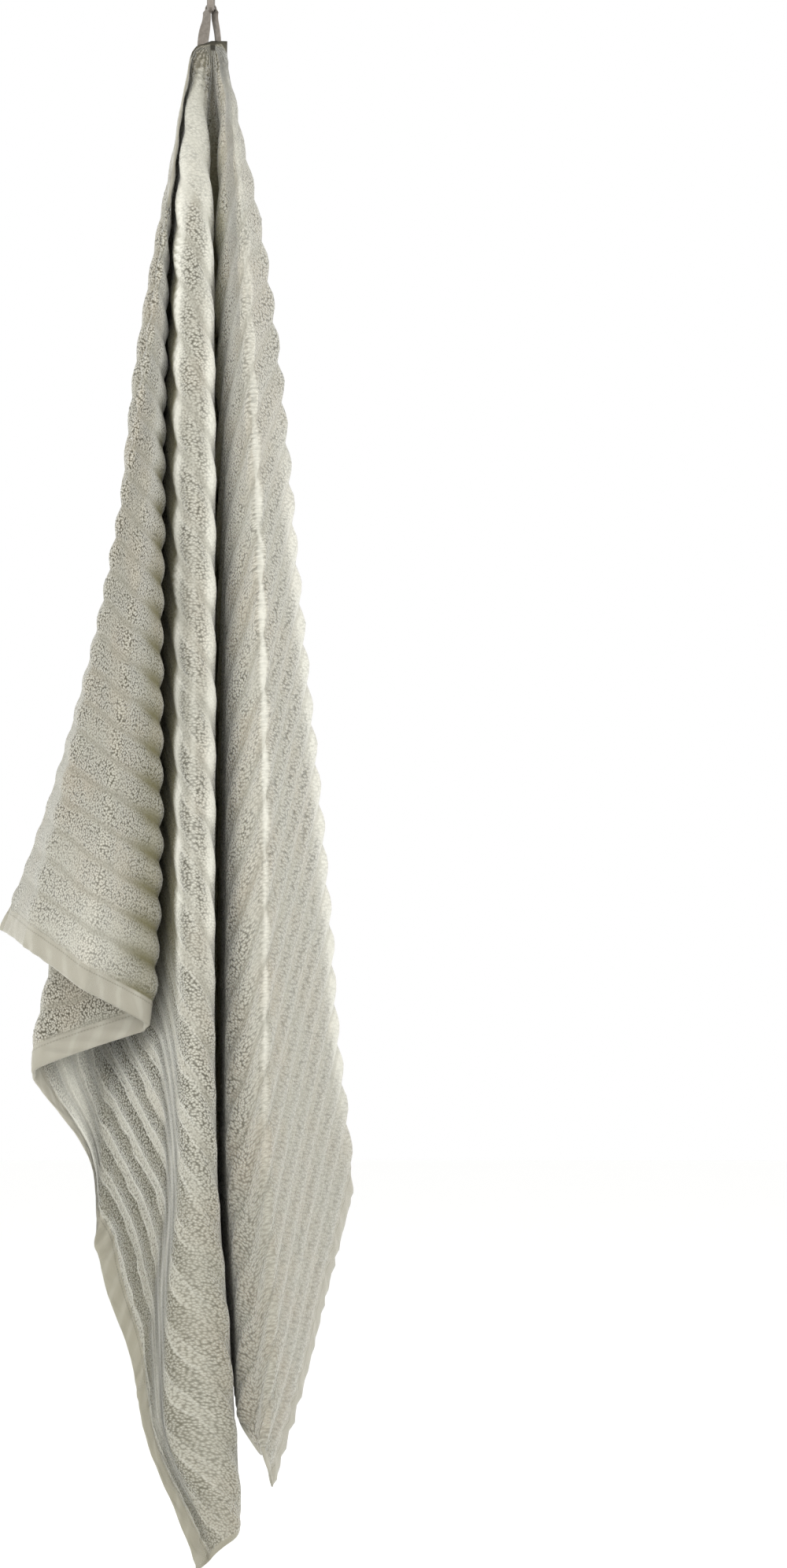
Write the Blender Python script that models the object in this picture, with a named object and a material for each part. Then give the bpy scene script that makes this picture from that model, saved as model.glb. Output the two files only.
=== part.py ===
# A ribbed bath towel hanging by its loop from a plain wall hook.
#
# Frame: +X to the right along the wall, +Y into the wall, +Z up, in metres.
# Origin: the middle of the hook plate's back face, which lies on the wall.
#
# The towel is one rectangle of cloth. Its loop is sewn to the middle of a long edge, so the cloth hangs
# from that one point and falls in folds that fan out from it. On the flat cloth each fold is a straight
# ray from the hanging point. A place on the cloth is named by its distance from that point and by the
# turn of its ray: 0 degrees along the left half of the top edge, 90 straight down the middle of the
# cloth, and 180 along the right half of the top edge.

from collections import namedtuple
from math import acos, atan2, cos, hypot, pi, radians, sin

import bmesh
import bpy
import numpy as np
from mathutils import Matrix, Vector

CM = 0.01
MM = 0.001

# The flat cloth, in cm
LONG_SIDE = 150.0
SHORT_SIDE = 100.0
HALF = LONG_SIDE / 2
HEM_BAND = 1.8  # the flat band along each short side
RIBS_PER_HALF = 28
RIB_PITCH = (HALF - HEM_BAND) / RIBS_PER_HALF
VALLEY_THICKNESS = 0.22
HEM_THICKNESS = 0.30
FACE_RISE = 0.23  # how far a rib stands proud on the face that shows on the flap
BACK_RISE = 0.14  # and on the other face

TOP_THINNING = 0.4  # the cloth is pressed to this share of its thickness where it is gathered
FULL_FROM = 28.0  # and it is as thick as ever from this far down
SELVEDGE_RISE = 0.35  # the share of a rib's rise that is left at the long sides

# Where the towel hangs, in m
WALL_GAP = 0.070  # from the wall to the hanging point
LOOP_DROP = 0.062  # from the plate's middle down to the hanging point
HANGING_POINT = (0.0, -WALL_GAP, -LOOP_DROP)
CLEARANCE = 0.3 * MM  # between the loop and the hook's rod
SEAT_GAP = 0.7 * MM  # from the towel's edge, at its mid-layer, to the loop's sewn ends

# The hook, in m
ROD_RADIUS = 3 * MM
ROD_REST = -LOOP_DROP + 25.8 * MM  # the height of the rod's middle under the loop
PLATE_RADIUS = 17 * MM
PLATE_THICKNESS = 4 * MM
PLATE_BEVEL = 1 * MM
PLATE_SIDES = 48
ROD_SIDES = 16
TIP_STEPS = 4
BEND_STEP = 12  # degrees of bend for each ring
SLOPE = 60  # how steeply the rod falls between the plate and the saddle
SLOPE_BEND = 15 * MM
SLOPE_RUN = (-ROD_REST - 2 * SLOPE_BEND * (1 - cos(radians(SLOPE)))) / sin(radians(SLOPE))
SADDLE_END = WALL_GAP + 7 * MM
SADDLE_RUN = 16 * MM
OUT_RUN = (SADDLE_END - SADDLE_RUN - 0.6 * PLATE_THICKNESS - SLOPE_RUN * cos(radians(SLOPE))
           - 2 * SLOPE_BEND * sin(radians(SLOPE)))
ROD_BENDS = (  # straight length; or bend in degrees and its radius
    (OUT_RUN, 0, 0),
    (0, SLOPE, SLOPE_BEND),
    (SLOPE_RUN, 0, 0),
    (0, -SLOPE, SLOPE_BEND),
    (SADDLE_RUN, 0, 0),
    (0, -90, 9 * MM),
    (14 * MM, 0, 0),
)

# The loop's tape, in m
TAPE_WIDTH = 9 * MM
TAPE_THICKNESS = 1.5 * MM
TAPE_SECTION = ((-1, -0.5), (-0.9, -1), (0.9, -1), (1, -0.5), (1, 0.5), (0.9, 1), (-0.9, 1), (-1, 0.5))
LOOP_LEFT = -6.6 * MM  # where its legs meet the towel's top edge, right of the hanging point
LOOP_RIGHT = 5.8 * MM
LEFT_TWIST = 84.0  # how far each leg's end is turned towards the viewer, in degrees
RIGHT_TWIST = -32.0
TWIST_FROM = 0.3  # the share of a leg, from its sewn end, that is turned all the way
LEG_STEPS = 10
ARC_STEPS = 12

# The folds
LEVELS = (1.3, 4, 12, 24, 48, 76, 86, 94, 104, 112, 124)
DEPTH_LEVELS = (1.3, 4, 12, 24, 48, 76, 84, 94, 104)
ROUNDING = 0.7  # how far a bend reaches to either side of its corner near the top, in cm of cloth
FULL_ROUNDING = 150.0  # the distance at which it reaches twice as far
GATHERED = 18.0  # within this distance of the hanging point the folds narrow towards it
NOSE_START = 5.0  # nearer than this the cloth doesn't double back at all
NOSE_LINES = (-1.25, -0.45, 0.45, 1.25)  # the mesh's lines beside the middle of a nose, in cm
CORNER_LINES = (-0.5, 0.5)  # and beside a fold that runs aside of its ray
# How far to the left the left hem's lower half stands out of the folds, in cm, at each of its levels
FLARE_LEVELS = (0, 97, 101, 104, 112, 118, 124)
FLARE_LEFT = (0, 0, 1.0, 1.05, 1.4, 1.15, 1.35)
FLARE_FORWARD = 0.8  # its step forward for each step left
FLARE_WIDTH = 4.0  # how far in from the short side it reaches, in cm
LINE_GAP = 0.45  # lines that cross a rib nearer together than this, in cm, share one point there

# turn: the fold's ray on the flat cloth, in degrees
# aside: how far beside that ray the fold runs, in cm
# nose: where the cloth doubles back, the step from one layer to the next, (right, back), in cm
# reach: the share of its ray's length at which the fold hangs, under 1 where slack, over 1 where
#     the cloth's own weight stretches it across the weave
# depth: how far behind the hanging point the fold lies, in cm, at each of DEPTH_LEVELS
# across: how far to its right, in cm, at each of LEVELS
Fold = namedtuple("Fold", "name turn aside nose reach depth across")
FOLDS = (
    Fold("left edge", 0, 0, (0, 0), 0.998, (-0.25, -0.9, -2.3, -4.0, -6.4, -5.0),
         (-1.2, -1.95, -3.1, -4.75, -8.6, -17.4, -22.0)),
    Fold("flap swell", 7.5, 0, (0, 0), 1.008, (-0.15, -0.5, -2.1, -5.2, -9.4, -10.4),
         (-1.25, -2.0, -3.15, -4.7, -8.5, -14.9, -17.5)),
    Fold("flap crown", 14, 0, (0, 0), 1.024, (0.0, -0.1, -1.4, -4.3, -10.2, -13.2),
         (-1.25, -2.0, -3.2, -4.1, -6.3, -9.9, -12.0)),
    Fold("flap fold", 20.8, 0, (0, 1.1), 1.012, (0.1, 0.3, -0.3, -2.1, -6.8, -9.4),
         (-1.2, -2.0, -3.25, -3.8, -4.1, -4.5, -5.4)),
    Fold("left fold", 29.2, 0, (0, 1.1), 1.0, (0.15, 0.65, 0.7, -0.3, -4.0, -7.4),
         (-1.1, -1.85, -3.5, -5.55, -8.1, -12.6, -14.3, -10.1)),
    Fold("left valley", 41, 0, (1.0, 0), 1.0, (0.1, 0.5, 1.5, 2.3, 2.8, 1.4, -4.2, -7.0, -7.6),
         (-1.0, -1.6, -2.95, -3.9, -5.9, -7.9, -8.4, -8.4, -8.0, -5.1, -3.2)),
    Fold("left column, outer", 54.5, -1.5, (0, 0), 1.0, (-0.25, -0.8, -2.8, -4.4, -6.9, -10.6),
         (-0.9, -1.45, -2.25, -2.6, -2.5, -2.4, -2.35, -2.4, -3.3, -3.5, 0.5)),
    Fold("left column, front", 54.5, 0, (0, 0), 1.0, (-0.4, -1.1, -3.2, -5.2, -8.0, -11.7),
         (-0.6, -1.15, -1.2, -1.3, -1.25, -1.2, -1.05, -0.9, -0.8, -0.5, 2.0)),
    Fold("left column, inner", 54.5, 1.5, (0, 0), 1.003, (-0.4, -0.9, -2.6, -4.4, -7.0, -10.6),
         (-0.25, -0.75, -0.2, 0.0, 0.15, 0.15, 0.2, 0.45, 1.25, 1.85, 3.1)),
    Fold("left inner wall", 66.5, 0, (-1.0, 0), 0.995, (-0.2, 0.0, -0.1, 0.5, 1.3, 2.2),
         (-0.1, -0.4, -0.4, -0.55, -0.6, -0.6, -0.5, -0.4, 0.2, 0.6)),
    Fold("left hidden fold", 74.5, 0, (-1.0, 0), 0.985, (-0.1, 0.3, 0.6, -2.0, -4.2, -7.0),
         (0.0, -0.3, -0.8, -1.4, -1.9, -2.2, -2.2, -2.2, -1.6)),
    Fold("left back", 83.5, 0, (0.3, 1.0), 0.97, (0, 0.7, 1.4, 1.9, 2.7, 3.5),
         (0.0, -0.2, -1.2, -2.3, -4.0, -5.2, -5.2, -5.2, -5.1)),
    Fold("middle", 90, 0, (0, 0), 0.968, (0.1, 0.9, 2.0, 2.8, 3.7, 4.3),
         (0.1, 0.1, 0.1, 0.3, 0.5, 0.6, 0.7, 0.9, 1.2)),
    Fold("right back", 96.5, 0, (-0.3, -1.0), 0.97, (0, 0.7, 1.5, 2.0, 3.0, 3.7),
         (0.2, 0.35, 1.4, 2.5, 4.0, 5.3, 5.3, 5.3, 5.2)),
    Fold("right hidden fold", 105, 0, (-1.0, 0), 0.98, (-0.1, 0.3, 0.8, -1.6, -4.0, -6.8),
         (0.25, 0.5, 1.5, 2.6, 3.6, 4.3, 4.3, 4.3, 4.3)),
    Fold("right inner wall", 113, 0, (-1.0, 0), 0.985, (-0.2, 0, -0.1, 0.5, 1.5, 2.4),
         (0.3, 0.6, 0.85, 1.05, 1.25, 1.3, 1.3, 1.35, 1.6, 2.0)),
    Fold("right column, inner", 124, -2.2, (0, 0), 0.95, (-0.3, -0.8, -1.9, -3.0, -4.8, -8.2, -8.8, -9.4, -9.6),
         (0.35, 0.9, 1.0, 1.4, 1.7, 1.8, 1.75, 1.75, 2.2, 2.6)),
    Fold("right column, front", 124, 0, (0, 0), 0.96, (-0.4, -1.1, -2.8, -4.4, -6.8, -10.4),
         (0.6, 1.3, 1.85, 2.25, 2.85, 3.05, 3.1, 3.2, 3.7, 4.0, 4.4)),
    Fold("right column, outer", 124, 2.2, (0, 0), 0.944, (-0.3, -1.0, -3.0, -4.9, -8.2, -11.8),
         (0.9, 1.65, 2.45, 3.1, 4.2, 4.6, 4.6, 4.6, 4.9, 5.15, 4.15)),
    Fold("right fold", 139.5, 0, (-0.9, 0.4), 0.956, (0.1, 0.2, 0.5, 0.7, 1.3, 2.2),
         (0.8, 1.4, 3.0, 4.6, 6.7, 9.2, 9.85, 10.7, 11.55, 11.65, 12.0)),
    Fold("right tuck", 148.5, 0, (-0.9, 0.4), 0.956, (0.1, 0.4, 1.3, 0.2, -0.3, -3.2),
         (0.9, 1.45, 2.6, 3.7, 5.1, 6.6, 6.9)),
    Fold("back knee", 157.5, 0, (0, 0), 0.96, (0.15, 0.8, 2.2, 3.4, 4.6, 5.4),
         (1.0, 1.5, 2.4, 4.2, 6.2, 8.1, 8.3)),
    Fold("back turn", 169, 0, (0, 0), 0.98, (0.25, 1.2, 2.8, 3.9, 5.3, 6.1),
         (1.05, 1.3, 0.4, -2.0, -5.0, -7.0, -7.2)),
    Fold("right edge", 180, 0, (0, 0), 1.0, (0.3, 1.5, 3.1, 4.3, 5.3, 5.5),
         (1.3, 0.95, -1.2, -3.8, -8.4, -13.4, -14)),
)


def padded(values, count):
    """A row's values, with its last one held for the levels that the fold no longer reaches."""
    return tuple(values) + (values[-1],) * (count - len(values))


def smooth_through(levels, values, at):
    """A smooth curve through the values that a row gives at the levels, read at the distances given."""
    levels = np.asarray(levels, float)
    values = np.asarray(values, float)
    steps = np.diff(levels)
    slopes = np.diff(values) / steps
    inner = (slopes[:-1] * steps[1:] + slopes[1:] * steps[:-1]) / (steps[1:] + steps[:-1])
    inner *= slopes[:-1] * slopes[1:] > 0  # level where the values turn back, so that no curve overshoots
    tangents = np.concatenate([slopes[:1], inner, slopes[-1:]])
    cell = np.clip(np.searchsorted(levels, at) - 1, 0, len(levels) - 2)
    wide = steps[cell]
    t = np.clip((at - levels[cell]) / wide, 0, 1)
    return ((2 * t**3 - 3 * t**2 + 1) * values[cell] + (t**3 - 2 * t**2 + t) * wide * tangents[cell]
            + (3 * t**2 - 2 * t**3) * values[cell + 1] + (t**3 - t**2) * wide * tangents[cell + 1])


def turn_beside(turn, aside, distance):
    """The turn of a line that runs beside a ray of the flat cloth, at each distance."""
    return turn + np.degrees(aside / np.maximum(distance, GATHERED))


def corners_at(distance):
    """The cross-section's corners at each distance: their turns, and places right and back, in cm."""
    levels = (0,) + LEVELS
    depth_levels = (0,) + DEPTH_LEVELS
    closeness = np.clip((distance - NOSE_START) / (GATHERED - NOSE_START), 0, 1)
    turns, rights, backs, reaches = [], [], [], []
    for fold in FOLDS:
        right = smooth_through(levels, (0,) + padded(fold.across, len(LEVELS)), distance)
        back = smooth_through(depth_levels, (0,) + padded(fold.depth, len(DEPTH_LEVELS)), distance)
        step_right, step_back = fold.nose
        sides = (-0.5, 0.5) if any(fold.nose) else (0,)
        for side in sides:
            aside = fold.aside + side * np.hypot(step_right, step_back)
            turns.append(turn_beside(fold.turn, aside, distance))
            rights.append(right + side * step_right * closeness)
            backs.append(back + side * step_back * closeness)
            reaches.append(np.full_like(distance, fold.reach))
    return (np.stack(part, axis=-1) for part in (turns, rights, backs, reaches))


def along(corner_turns, corner_values, turn):
    """The corners' values read along the cross-section, straight between corners and past its ends."""
    spans = np.diff(corner_turns, axis=-1)
    share = (turn[..., None] - corner_turns[..., :-1]) / spans
    low = np.zeros(share.shape[-1])
    low[0] = -np.inf
    high = np.ones(share.shape[-1])
    high[-1] = np.inf
    share = np.clip(share, low, high)
    return corner_values[..., 0] + (share * np.diff(corner_values, axis=-1)).sum(axis=-1)


def hang(distance, turn):
    """Where the cloth's mid-layer hangs, in cm from the hanging point, for arrays of distance and turn."""
    distance = np.asarray(distance, float)
    turn = np.asarray(turn, float)
    turns, rights, backs, reaches = corners_at(distance)
    offsets = np.linspace(-1, 1, 9)
    weights = 1.02 - np.abs(offsets)
    weights /= weights.sum()
    rounding = ROUNDING * (1 + distance / FULL_ROUNDING)
    spread = np.degrees(rounding / np.maximum(distance, ROUNDING))
    right = np.zeros_like(distance)
    back = np.zeros_like(distance)
    reach = np.zeros_like(distance)
    for offset, weight in zip(offsets, weights):
        place = turn + offset * spread
        right += weight * along(turns, rights, place)
        back += weight * along(turns, backs, place)
        reach += weight * along(turns, reaches, place)
    from_hem = HALF - distance * np.cos(np.radians(turn))
    flare = (smooth_through(FLARE_LEVELS, FLARE_LEFT, distance)
             * np.clip(1 - from_hem / FLARE_WIDTH, 0, 1) ** 2)
    right = right - flare
    back = back - FLARE_FORWARD * flare
    drop = np.sqrt(np.maximum((reach * distance) ** 2 - right**2 - back**2, 0))
    return np.stack([right, back, -drop], axis=-1)


def rib(across):
    """How far up the ribs the cloth is, 0 in a valley and 1 on a rib, by its place along the long side."""
    ribbed = np.abs(across) < HALF - HEM_BAND
    return np.where(ribbed, 0.5 - 0.5 * np.cos(2 * pi * across / RIB_PITCH), 0)


def mesh_lines():
    """The lines of the mesh that run down the folds: each one's turn and how far aside of it."""
    lines = []
    for fold in FOLDS:
        beside = NOSE_LINES if any(fold.nose) else CORNER_LINES if fold.aside else (0,)
        if fold.turn != 90:
            lines += [(fold.turn, fold.aside + side) for side in beside]
    return sorted(lines, key=lambda line: turn_beside(*line, SHORT_SIDE))


def crossings(lines, across):
    """The distances down the cloth at which the lines cross one rib, each with its line's number.

    The numbers rise down the cloth on both halves.
    """
    distances = np.linspace(0, 2 * LONG_SIDE, 6001)
    ordered = lines if across < 0 else lines[::-1]
    found = [(-1, 0.0)]
    for number, (turn, aside) in enumerate(ordered):
        if (turn < 90) != (across < 0):
            continue
        turns = np.radians(turn_beside(turn, aside, distances))
        distance = np.interp(abs(across), distances * np.abs(np.cos(turns)), distances)
        down = distance * sin(radians(float(turn_beside(turn, aside, np.array(distance)))))
        if found[-1][1] + LINE_GAP < down < SHORT_SIDE - 0.4 * RIB_PITCH:
            found.append((number, down))
    return found + [(len(lines), SHORT_SIDE)]


def flat_places():
    """The flat cloth's mesh: rows of (line number, down) at each rib line, by the place across."""
    lines = mesh_lines()
    halves = [j * RIB_PITCH / 2 for j in range(1, 2 * RIBS_PER_HALF + 1)] + [HALF]
    rows = {}
    for size in halves:
        rows[-size] = crossings(lines, -size)
        rows[size] = crossings(lines, size)
    rows[0.0] = rows[-halves[0]]
    return sorted(rows.items())


def between(first, second, same_lines):
    """The triangles between two neighbouring rows, whose places are (key, number of the point)."""
    faces = []
    i = j = 0
    while i < len(first) - 1 or j < len(second) - 1:
        more_first = i < len(first) - 1
        more_second = j < len(second) - 1
        if more_first and more_second:
            step_first = first[i + 1][0] <= second[j + 1][0]
            both = same_lines and first[i + 1][0] == second[j + 1][0]
        else:
            step_first = more_first
            both = False
        a, b = first[i][1], second[j][1]
        if both:
            c, d = first[i + 1][1], second[j + 1][1]
            faces += [(a, c, d), (a, d, b)]
            i, j = i + 1, j + 1
        elif step_first:
            faces.append((a, first[i + 1][1], b))
            i += 1
        else:
            faces.append((a, second[j + 1][1], b))
            j += 1
    return faces


def flat_mesh():
    """The flat cloth's mesh: its points (across, down) and its triangles."""
    flat, faces, before = [], [], None
    for across, row in flat_places():
        numbered = [(key, len(flat) + place, down) for place, (key, down) in enumerate(row)]
        flat += [(across, down) for key, down in row]
        if before:
            same_lines = before[0] != 0
            pick = 0 if same_lines else 2  # across the middle, lines match by how far down they are
            faces += between([(place[pick], place[1]) for place in before[1]],
                             [(place[pick], place[1]) for place in numbered], same_lines)
        before = (across, numbered)
    return np.array(flat), faces


def way_out(across, down):
    """The unit vector out of the towel's front face at places of the flat cloth."""
    step = 0.2
    along_ribs = hang_flat(across, down + step) - hang_flat(across, down - step)
    over_ribs = hang_flat(across + step, down) - hang_flat(across - step, down)
    out = np.cross(along_ribs, over_ribs)
    return out / np.maximum(np.linalg.norm(out, axis=1), 1e-9)[:, None]


def towel_mesh():
    """The towel's solid: its two faces either side of the mid-layer, joined by a rim along the edges."""
    flat, faces = flat_mesh()
    across, down = flat.T
    middle = hang_flat(across, down)
    out = way_out(across, down)
    fullness = np.minimum(1, TOP_THINNING + (1 - TOP_THINNING) * np.hypot(across, down) / FULL_FROM)
    edge = np.minimum(down, SHORT_SIDE - down)
    rise = rib(across) * np.where(edge < 0.1, SELVEDGE_RISE, 1)
    hem = np.abs(across) > HALF - 0.9 * HEM_BAND
    core = np.where(hem, HEM_THICKNESS, VALLEY_THICKNESS) / 2
    front = middle + out * ((core + FACE_RISE * rise) * fullness)[:, None]
    back = middle - out * ((core + BACK_RISE * rise) * fullness)[:, None]
    count = len(flat)
    solid = [tuple(face) for face in faces] + [tuple(count + v for v in reversed(f)) for f in faces]
    sides = {pair for a, b, c in faces for pair in ((a, b), (b, c), (c, a))}
    for a, b in sorted(sides):
        if (b, a) not in sides:
            solid += [(b, a, count + a), (b, count + a, count + b)]
    return np.vstack([front, back]) * CM + np.array(HANGING_POINT), solid


def hang_flat(across, down):
    """Where a place of the flat cloth hangs: across from the loop, and down from the loop's edge."""
    distance = np.maximum(np.hypot(across, down), 0.05)
    turn = np.degrees(np.arctan2(down, -across))
    return hang(distance, turn)


def add_object(name, points, faces, material):
    """A mesh object of the given points and faces, with its material."""
    mesh = bpy.data.meshes.new(name)
    mesh.from_pydata([tuple(point) for point in points], [], faces)
    mesh.materials.append(material)
    mesh.update()
    thing = bpy.data.objects.new(name, mesh)
    bpy.context.collection.objects.link(thing)
    return thing


def plain_material(name, color, roughness, metallic=0.0):
    """A Principled material of one colour."""
    material = bpy.data.materials.new(name)
    material.use_nodes = True
    shader = material.node_tree.nodes["Principled BSDF"]
    shader.inputs["Base Color"].default_value = (*color, 1)
    shader.inputs["Roughness"].default_value = roughness
    shader.inputs["Metallic"].default_value = metallic
    return material


def swept(sections):
    """Points and faces of a closed solid through a row of rings, closed at both ends."""
    points = [point for ring in sections for point in ring]
    size = len(sections[0])
    faces = []
    for ring in range(len(sections) - 1):
        for side in range(size):
            a = ring * size + side
            b = ring * size + (side + 1) % size
            faces.append((a, b, b + size, a + size))
    faces.append(tuple(reversed(range(size))))
    faces.append(tuple(range(len(points) - size, len(points))))
    return points, faces


def make_towel():
    points, faces = towel_mesh()
    return add_object("towel", points, faces, plain_material("terry", (0.50, 0.49, 0.40), 0.95))


def top_edge_at(right):
    """A point of the towel's top edge, by how far right of the hanging point it is, in m."""
    places = np.linspace(-1.4, 1.4, 57)
    edge = hang_flat(places, np.zeros_like(places))
    back = np.interp(right / CM, edge[:, 0], edge[:, 1])
    up = np.interp(right / CM, edge[:, 0], edge[:, 2])
    return Vector((right, back * CM + HANGING_POINT[1], up * CM + HANGING_POINT[2]))


def leg_touch(leg, side):
    """The angle round the rod at which a straight leg meets the tape's arc; side is 1 for the left leg."""
    radius = ROD_RADIUS + CLEARANCE + TAPE_THICKNESS / 2
    return atan2(leg.z, leg.x) - side * acos(radius / hypot(leg.x, leg.z))


def loop_path():
    """The tape's middle line: up the left leg, over the rod and down the right leg."""
    over = Vector((HANGING_POINT[0], -WALL_GAP, ROD_REST))
    radius = ROD_RADIUS + CLEARANCE + TAPE_THICKNESS / 2
    start, end = (top_edge_at(right) for right in (LOOP_LEFT, LOOP_RIGHT))
    first = leg_touch(start - over, 1) % (2 * pi)
    last = leg_touch(end - over, -1)
    arc = []
    for step in range(ARC_STEPS + 1):
        angle = first + (last - first) * step / ARC_STEPS
        arc.append(over + Vector((cos(angle), 0, sin(angle))) * radius)
    left = [start.lerp(arc[0], step / LEG_STEPS) for step in range(LEG_STEPS)]
    right = [end.lerp(arc[-1], step / LEG_STEPS) for step in range(LEG_STEPS)]
    return left + arc + right[::-1]


def smooth_step(value, low, high):
    """0 below low, 1 above high, and a smooth rise between them."""
    t = min(max((value - low) / (high - low), 0), 1)
    return t * t * (3 - 2 * t)


def make_hanging_loop():
    """One tape, flat over the rod; its legs turn towards the viewer, the left one most."""
    path = loop_path()
    last = len(path) - 1
    leg = LEG_STEPS / last  # the share of the path that each leg takes
    sections = []
    for index, point in enumerate(path):
        ahead = (path[min(index + 1, last)] - path[max(index - 1, 0)]).normalized()
        share = index / last
        twist = radians(LEFT_TWIST * (1 - smooth_step(share, TWIST_FROM * leg, leg))
                        + RIGHT_TWIST * smooth_step(share, 1 - leg, 1 - TWIST_FROM * leg))
        along_rod = Vector((0, 1, 0))
        along_rod = (along_rod - ahead * along_rod.dot(ahead)).normalized()
        wide = along_rod * cos(twist) + ahead.cross(along_rod) * sin(twist)
        thick = ahead.cross(wide)
        ring = [point + wide * (x * TAPE_WIDTH / 2) + thick * (z * TAPE_THICKNESS / 2)
                for x, z in TAPE_SECTION]
        if index in (0, last):
            for corner in ring:
                corner.z = top_edge_at(corner.x).z + SEAT_GAP
        sections.append(ring)
    points, faces = swept(sections)
    return add_object("hanging_loop", points, faces, plain_material("tape", (0.27, 0.23, 0.19), 0.8))


def rod_line():
    """The hook rod's middle line, (back, up) in m: out of the plate, down, level under the loop, and up."""
    place = Vector((-0.6 * PLATE_THICKNESS, 0))
    heading = pi
    line = [place.copy()]
    for length, bend, radius in ROD_BENDS:
        if bend:
            steps = max(3, round(abs(bend) / BEND_STEP))
            half_turn = radians(bend / steps / 2)
            chord = 2 * radius * sin(abs(half_turn))
            for _ in range(steps):
                heading += half_turn
                place += Vector((cos(heading), sin(heading))) * chord
                heading += half_turn
                line.append(place.copy())
        else:
            place += Vector((cos(heading), sin(heading))) * length
            line.append(place.copy())
    return line


def make_hook():
    """A round plate and a round rod bent to a saddle and a prong with a round tip, made in one."""
    line = rod_line()
    tip_heading = (line[-1] - line[-2]).normalized()
    radii = [ROD_RADIUS] * len(line)
    for step in range(1, TIP_STEPS + 1):
        angle = radians(82) * step / TIP_STEPS
        line.append(line[len(radii) - step] + tip_heading * ROD_RADIUS * sin(angle))
        radii.append(ROD_RADIUS * cos(angle))
    sections = []
    for index, (place, radius) in enumerate(zip(line, radii)):
        ahead = (line[min(index + 1, len(line) - 1)] - line[max(index - 1, 0)]).normalized()
        up = Vector((0, -ahead.y, ahead.x))
        centre = Vector((HANGING_POINT[0], place.x, place.y))
        ring = []
        for side in range(ROD_SIDES):
            angle = 2 * pi * side / ROD_SIDES
            ring.append(centre + Vector((1, 0, 0)) * cos(angle) * radius + up * sin(angle) * radius)
        sections.append(ring)
    points, faces = swept(sections)
    steel = plain_material("steel", (0.55, 0.54, 0.52), 0.3, 1.0)
    rod = add_object("rod", points, faces, steel)
    plate_mesh = bmesh.new()
    bmesh.ops.create_cone(plate_mesh, cap_ends=True, segments=PLATE_SIDES, radius1=PLATE_RADIUS,
                          radius2=PLATE_RADIUS, depth=PLATE_THICKNESS,
                          matrix=Matrix.Translation((HANGING_POINT[0], -PLATE_THICKNESS / 2, 0))
                          @ Matrix.Rotation(radians(90), 4, "X"))
    front_rim = [edge for edge in plate_mesh.edges
                 if all(vert.co.y < -0.9 * PLATE_THICKNESS for vert in edge.verts)]
    bmesh.ops.bevel(plate_mesh, geom=front_rim, offset=PLATE_BEVEL, segments=2, profile=0.5, affect="EDGES")
    mesh = bpy.data.meshes.new("hook")
    plate_mesh.to_mesh(mesh)
    plate_mesh.free()
    mesh.materials.append(steel)
    hook = bpy.data.objects.new("hook", mesh)
    bpy.context.collection.objects.link(hook)
    joined = hook.modifiers.new("rod", "BOOLEAN")
    joined.operation = "UNION"
    joined.solver = "EXACT"
    joined.object = rod
    rod.hide_render = True
    rod.display_type = "WIRE"
    return hook


def smooth_rounds(thing, sharp_angle):
    """Smooth shading, with edges left sharp where two faces meet at more than the angle."""
    thing.data.shade_smooth()
    thing.data.set_sharp_from_angle(angle=radians(sharp_angle))


def main():
    for thing in list(bpy.data.objects):
        bpy.data.objects.remove(thing, do_unlink=True)
    smooth_rounds(make_towel(), 60)
    smooth_rounds(make_hanging_loop(), 40)
    smooth_rounds(make_hook(), 35)


main()
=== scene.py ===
from math import acos, atan2, cos, hypot, pi, radians, sin

import bpy
import numpy as np
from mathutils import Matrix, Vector


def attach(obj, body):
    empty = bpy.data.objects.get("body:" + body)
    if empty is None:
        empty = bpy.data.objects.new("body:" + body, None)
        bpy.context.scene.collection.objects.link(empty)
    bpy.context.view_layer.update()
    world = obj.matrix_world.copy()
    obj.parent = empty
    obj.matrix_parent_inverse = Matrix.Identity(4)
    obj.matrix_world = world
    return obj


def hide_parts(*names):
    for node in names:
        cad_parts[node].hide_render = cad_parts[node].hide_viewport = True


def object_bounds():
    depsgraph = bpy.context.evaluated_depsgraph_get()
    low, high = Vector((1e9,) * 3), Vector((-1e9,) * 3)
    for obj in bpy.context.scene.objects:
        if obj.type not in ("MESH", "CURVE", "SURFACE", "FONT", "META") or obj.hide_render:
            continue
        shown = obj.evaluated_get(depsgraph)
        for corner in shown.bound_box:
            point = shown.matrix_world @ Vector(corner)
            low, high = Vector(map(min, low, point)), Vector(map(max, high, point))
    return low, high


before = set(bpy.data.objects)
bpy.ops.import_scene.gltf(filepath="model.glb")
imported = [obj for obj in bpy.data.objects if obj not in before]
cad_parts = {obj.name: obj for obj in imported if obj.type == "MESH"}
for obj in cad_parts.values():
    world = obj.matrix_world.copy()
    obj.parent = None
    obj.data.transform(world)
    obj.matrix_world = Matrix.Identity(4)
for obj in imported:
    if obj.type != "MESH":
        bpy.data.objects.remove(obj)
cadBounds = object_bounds()
print("frame loaded")

cm = 0.01
mm = 0.001

# The view of the photo: 1000 x 1993, with the towel's hanging point at this pixel
view = {
    "width": 1000,
    "height": 1993,
    "hangingPixel": (268, 52),
    "mmPerPixel": 0.644,
    "distance": 8.0,  # m, from the camera to the hanging point
    "sensor": 36.0,
}
hangingPoint = Vector((0.0, -0.070, -0.062))  # where the loop meets the towel's top edge, as in the solids


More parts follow.
